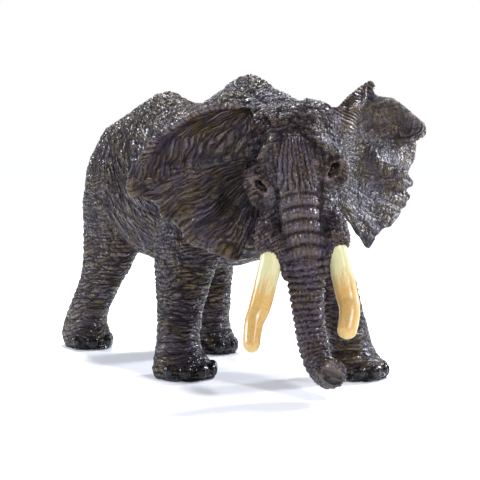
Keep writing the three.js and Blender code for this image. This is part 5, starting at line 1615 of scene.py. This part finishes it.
class StageSettings(PropertyGroup):
    """Floor, light and camera."""
    floor: colour_of("Floor", "Colour of the floor", (0.93, 0.93, 0.94))
    # The glow colour is the colour of the floor's painted light, which the floor gives out itself.
    glow: colour_of("Glow", "Cast of the light that the floor gives back", (0.90, 0.93, 1.0))
    sky: FloatProperty(name="Sky", description="Strength of the soft light all round", default=0.09)
    key: power_of("Key", "Power of the light above and behind", 17)
    fill: power_of("Front", "Power of the light in front", 9.5)
    side: power_of("Side", "Power of the light at the figure's right, and by 1.3 at its left", 9.5)
    lens: FloatProperty(name="Lens", description="Focal length in millimetres", default=112.5)


SETTINGS = {"elephant_hide": HideSettings, "elephant_ivory": IvorySettings, "elephant_eyes": EyeSettings,
            "elephant_nails": NailSettings, "elephant_fibre": FibreSettings, "elephant_stage": StageSettings}


# Operators

class BuildSkin(Operator):
    """Body, head, jaw, trunk and legs, shaped as one skin and parted at their seams"""
    bl_idname = "elephant.skin"
    bl_label = "Skin"

    def execute(self, context):
        settings = context.scene.elephant_hide
        forms = [torso_form(), neck_form(), head_form(), trunk_form(), jaw_form()]
        forms += [leg_form(leg) for leg in LEGS]
        for _, side in SIDES:
            forms += face_forms(side)
        skin = fused(forms, settings.grain * (1))
        label = without_islands(skin, settled(skin, casting_of(skin.points)))
        skin.relax(10, smoothstep(skin.points[:, 2], *FOOT_STILL))
        for _, side in SIDES:
            press_ridges(skin, BODY_SIDE_RIDGES, side)
            press_ridges(skin, HEAD_SIDE_RIDGES, side, from_head)
        press_ridges(skin, BODY_MIDDLE_RIDGES, 1)
        press_ridges(skin, FACE_RIDGES + TRUNK_TIP_RIDGES, 1, from_head)
        swell = swelling(skin)
        numbers = wrinkled(skin, label, settings.wrinkle_depth, settings.wrinkle_spacing)
        skin.points[:, 2] = np.maximum(skin.points[:, 2], 0)
        face = np.isin(label, (HEAD, JAW, TRUNK)).astype(float)
        numbers["wash"] = 1 - 0.4 * skin.spread(face, 20)
        numbers["swell"] = swell
        numbers["black"] = darkened(skin, numbers["black"])
        normals, material = skin.normals(), hide_material(settings)
        votes = (label[skin.quads][:, :, None] == np.arange(len(CASTINGS))).sum(axis=1)
        kind = np.argmax(votes, axis=1)
        for k, node in enumerate(CASTINGS):
            piece = casting_piece(node + "_skin", skin, skin.quads[kind == k], normals, numbers, material)
            standing_for(piece, [node])
        return {"FINISHED"}


class BuildEars(Operator):
    """The two spread ears"""
    bl_idname = "elephant.ears"
    bl_label = "Ears"

    def execute(self, context):
        settings = context.scene.elephant_hide
        rays, steps = ((240, 150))
        material = hide_material(settings)
        for name, side in SIDES:
            piece = ear_piece(name + "_ear_skin", side, rays, steps, settings.wrinkle_depth,
                              settings.wrinkle_spacing, material)
            standing_for(piece, [name + "_ear"])
        return {"FINISHED"}


class BuildTusks(Operator):
    """The two painted tusks"""
    bl_idname = "elephant.tusks"
    bl_label = "Tusks"

    def execute(self, context):
        material = tusk_material(context.scene.elephant_ivory)
        for name, side in SIDES:
            standing_for(tusk_piece(name + "_tusk_ivory", side, material), [name + "_tusk"])
        return {"FINISHED"}


class BuildTail(Operator):
    """The tail with its tuft"""
    bl_idname = "elephant.tail"
    bl_label = "Tail"

    def execute(self, context):
        standing_for(tail_piece(hide_material(context.scene.elephant_hide)), ["tail"])
        return {"FINISHED"}


class BuildEyes(Operator):
    """The two glossy eyes"""
    bl_idname = "elephant.eyes"
    bl_label = "Eyes"

    def execute(self, context):
        material = eye_material(context.scene.elephant_eyes)
        for name, side in SIDES:
            standing_for(eye_piece(name + "_eye", side, material), [])
        return {"FINISHED"}


class BuildNails(Operator):
    """The painted nails of the four feet"""
    bl_idname = "elephant.nails"
    bl_label = "Nails"

    def execute(self, context):
        settings = context.scene.elephant_nails
        material = nail_material(settings)
        for leg in LEGS:
            standing_for(nails_piece(leg, settings, material), [])
        return {"FINISHED"}


class BuildFilling(Operator):
    """The fibre sealed inside body and head"""
    bl_idname = "elephant.filling"
    bl_label = "Filling"

    def execute(self, context):
        settings = context.scene.elephant_fibre
        material = fibre_material(settings)
        for node in ("body_stuffing", "head_stuffing"):
            standing_for(filling_piece(node + "_fibre", node, settings.tufts, material), [node])
        return {"FINISHED"}


def add_lamp(name, place, size, power, colour):
    """A round light that looks at the figure's middle."""
    light = bpy.data.lights.new(name, "AREA")
    light.shape, light.size, light.energy, light.color = "DISK", size, power, colour
    lamp = bpy.data.objects.new(name, light)
    lamp.location = place
    lamp.rotation_euler = (Vector(FIGURE_MIDDLE) - Vector(place)).to_track_quat("-Z", "Y").to_euler()
    bpy.context.scene.collection.objects.link(lamp)


class BuildStage(Operator):
    """Floor, soft light and the camera at the picture's angle"""
    bl_idname = "elephant.stage"
    bl_label = "Stage"

    def execute(self, context):
        settings = context.scene.elephant_stage
        turn = np.linspace(0, 2 * np.pi, 64, endpoint=False)
        rim = np.stack([
            FLOOR_REACH * np.cos(turn), FLOOR_REACH * np.sin(turn), np.full_like(turn, FLOOR_LEVEL)], axis=1)
        floor = add_mesh("floor", rim, [list(range(len(rim)))])
        floor.data.materials.append(floor_material(settings))
        world = context.scene.world or bpy.data.worlds.new("soft_sky")
        context.scene.world = world
        world.use_nodes = True
        nodes = Nodes(world.node_tree)
        sky = nodes.tree.nodes["Background"]
        nodes.feed(sky.inputs["Color"], (1, 1, 1, 1))
        seen = nodes.add("ShaderNodeLightPath").outputs["Is Camera Ray"]
        nodes.feed(sky.inputs["Strength"], nodes.ranged(seen, 0, 1, settings.sky, 1.0))
        context.scene.view_settings.view_transform = "Standard"
        for name, place, size, power, colour in (
                ("key", (0.2, 0.45, 1.0), 0.24, settings.key, (0.93, 0.96, 1)),
                ("front", (0.05, -1.15, 0.95), 0.16, settings.fill, (0.90, 0.91, 1)),
                ("left", (0.95, -0.1, 0.45), 0.2, settings.side * 1.3, (0.82, 0.87, 1)),
                ("right", (-0.85, 0.75, 0.5), 0.2, settings.side, (0.82, 0.87, 1))):
            add_lamp(name, place, size, power, colour)
        camera = bpy.data.cameras.new("picture_camera")
        camera.lens, camera.sensor_width = settings.lens, 36
        camera.clip_start, camera.clip_end = 0.05, 20
        eye = bpy.data.objects.new("picture_camera", camera)
        eye.location = Vector(at(*CAMERA_PLACE) + FIGURE_SHIFT)
        heading = Vector((math.cos(CAMERA_TURN), math.sin(CAMERA_TURN), 0)) * math.cos(CAMERA_PITCH)
        heading.z = -math.sin(CAMERA_PITCH)
        eye.rotation_euler = heading.to_track_quat("-Z", "Y").to_euler()
        context.scene.collection.objects.link(eye)
        context.scene.camera = eye
        return {"FINISHED"}


STEPS = (BuildSkin, BuildEars, BuildTusks, BuildTail, BuildEyes, BuildNails, BuildFilling, BuildStage)


class ElephantPanel(Panel):
    """Lists the steps that build the figure"""
    bl_idname = "VIEW3D_PT_elephant"
    bl_label = "Elephant figure"
    bl_space_type = "VIEW_3D"
    bl_region_type = "UI"
    bl_category = "Elephant"

    def draw(self, context):
        for step in STEPS:
            self.layout.operator(step.bl_idname)
        for name, group in SETTINGS.items():
            box = self.layout.box()
            for key in group.__annotations__:
                box.prop(getattr(context.scene, name), key)


def register():
    for made in (*SETTINGS.values(), *STEPS, ElephantPanel):
        bpy.utils.register_class(made)
    for name, group in SETTINGS.items():
        setattr(bpy.types.Scene, name, PointerProperty(type=group))


def unregister():
    for name in SETTINGS:
        delattr(bpy.types.Scene, name)
    for made in reversed((*SETTINGS.values(), *STEPS, ElephantPanel)):
        bpy.utils.unregister_class(made)


def main():
    register()
    steps = bpy.ops.elephant
    for step in (steps.skin, steps.ears, steps.tusks, steps.tail, steps.eyes, steps.nails, steps.filling,
                 steps.stage):
        if step() != {"FINISHED"}:
            raise RuntimeError("a step of the figure did not finish")


if __name__ == "__main__":
    main()
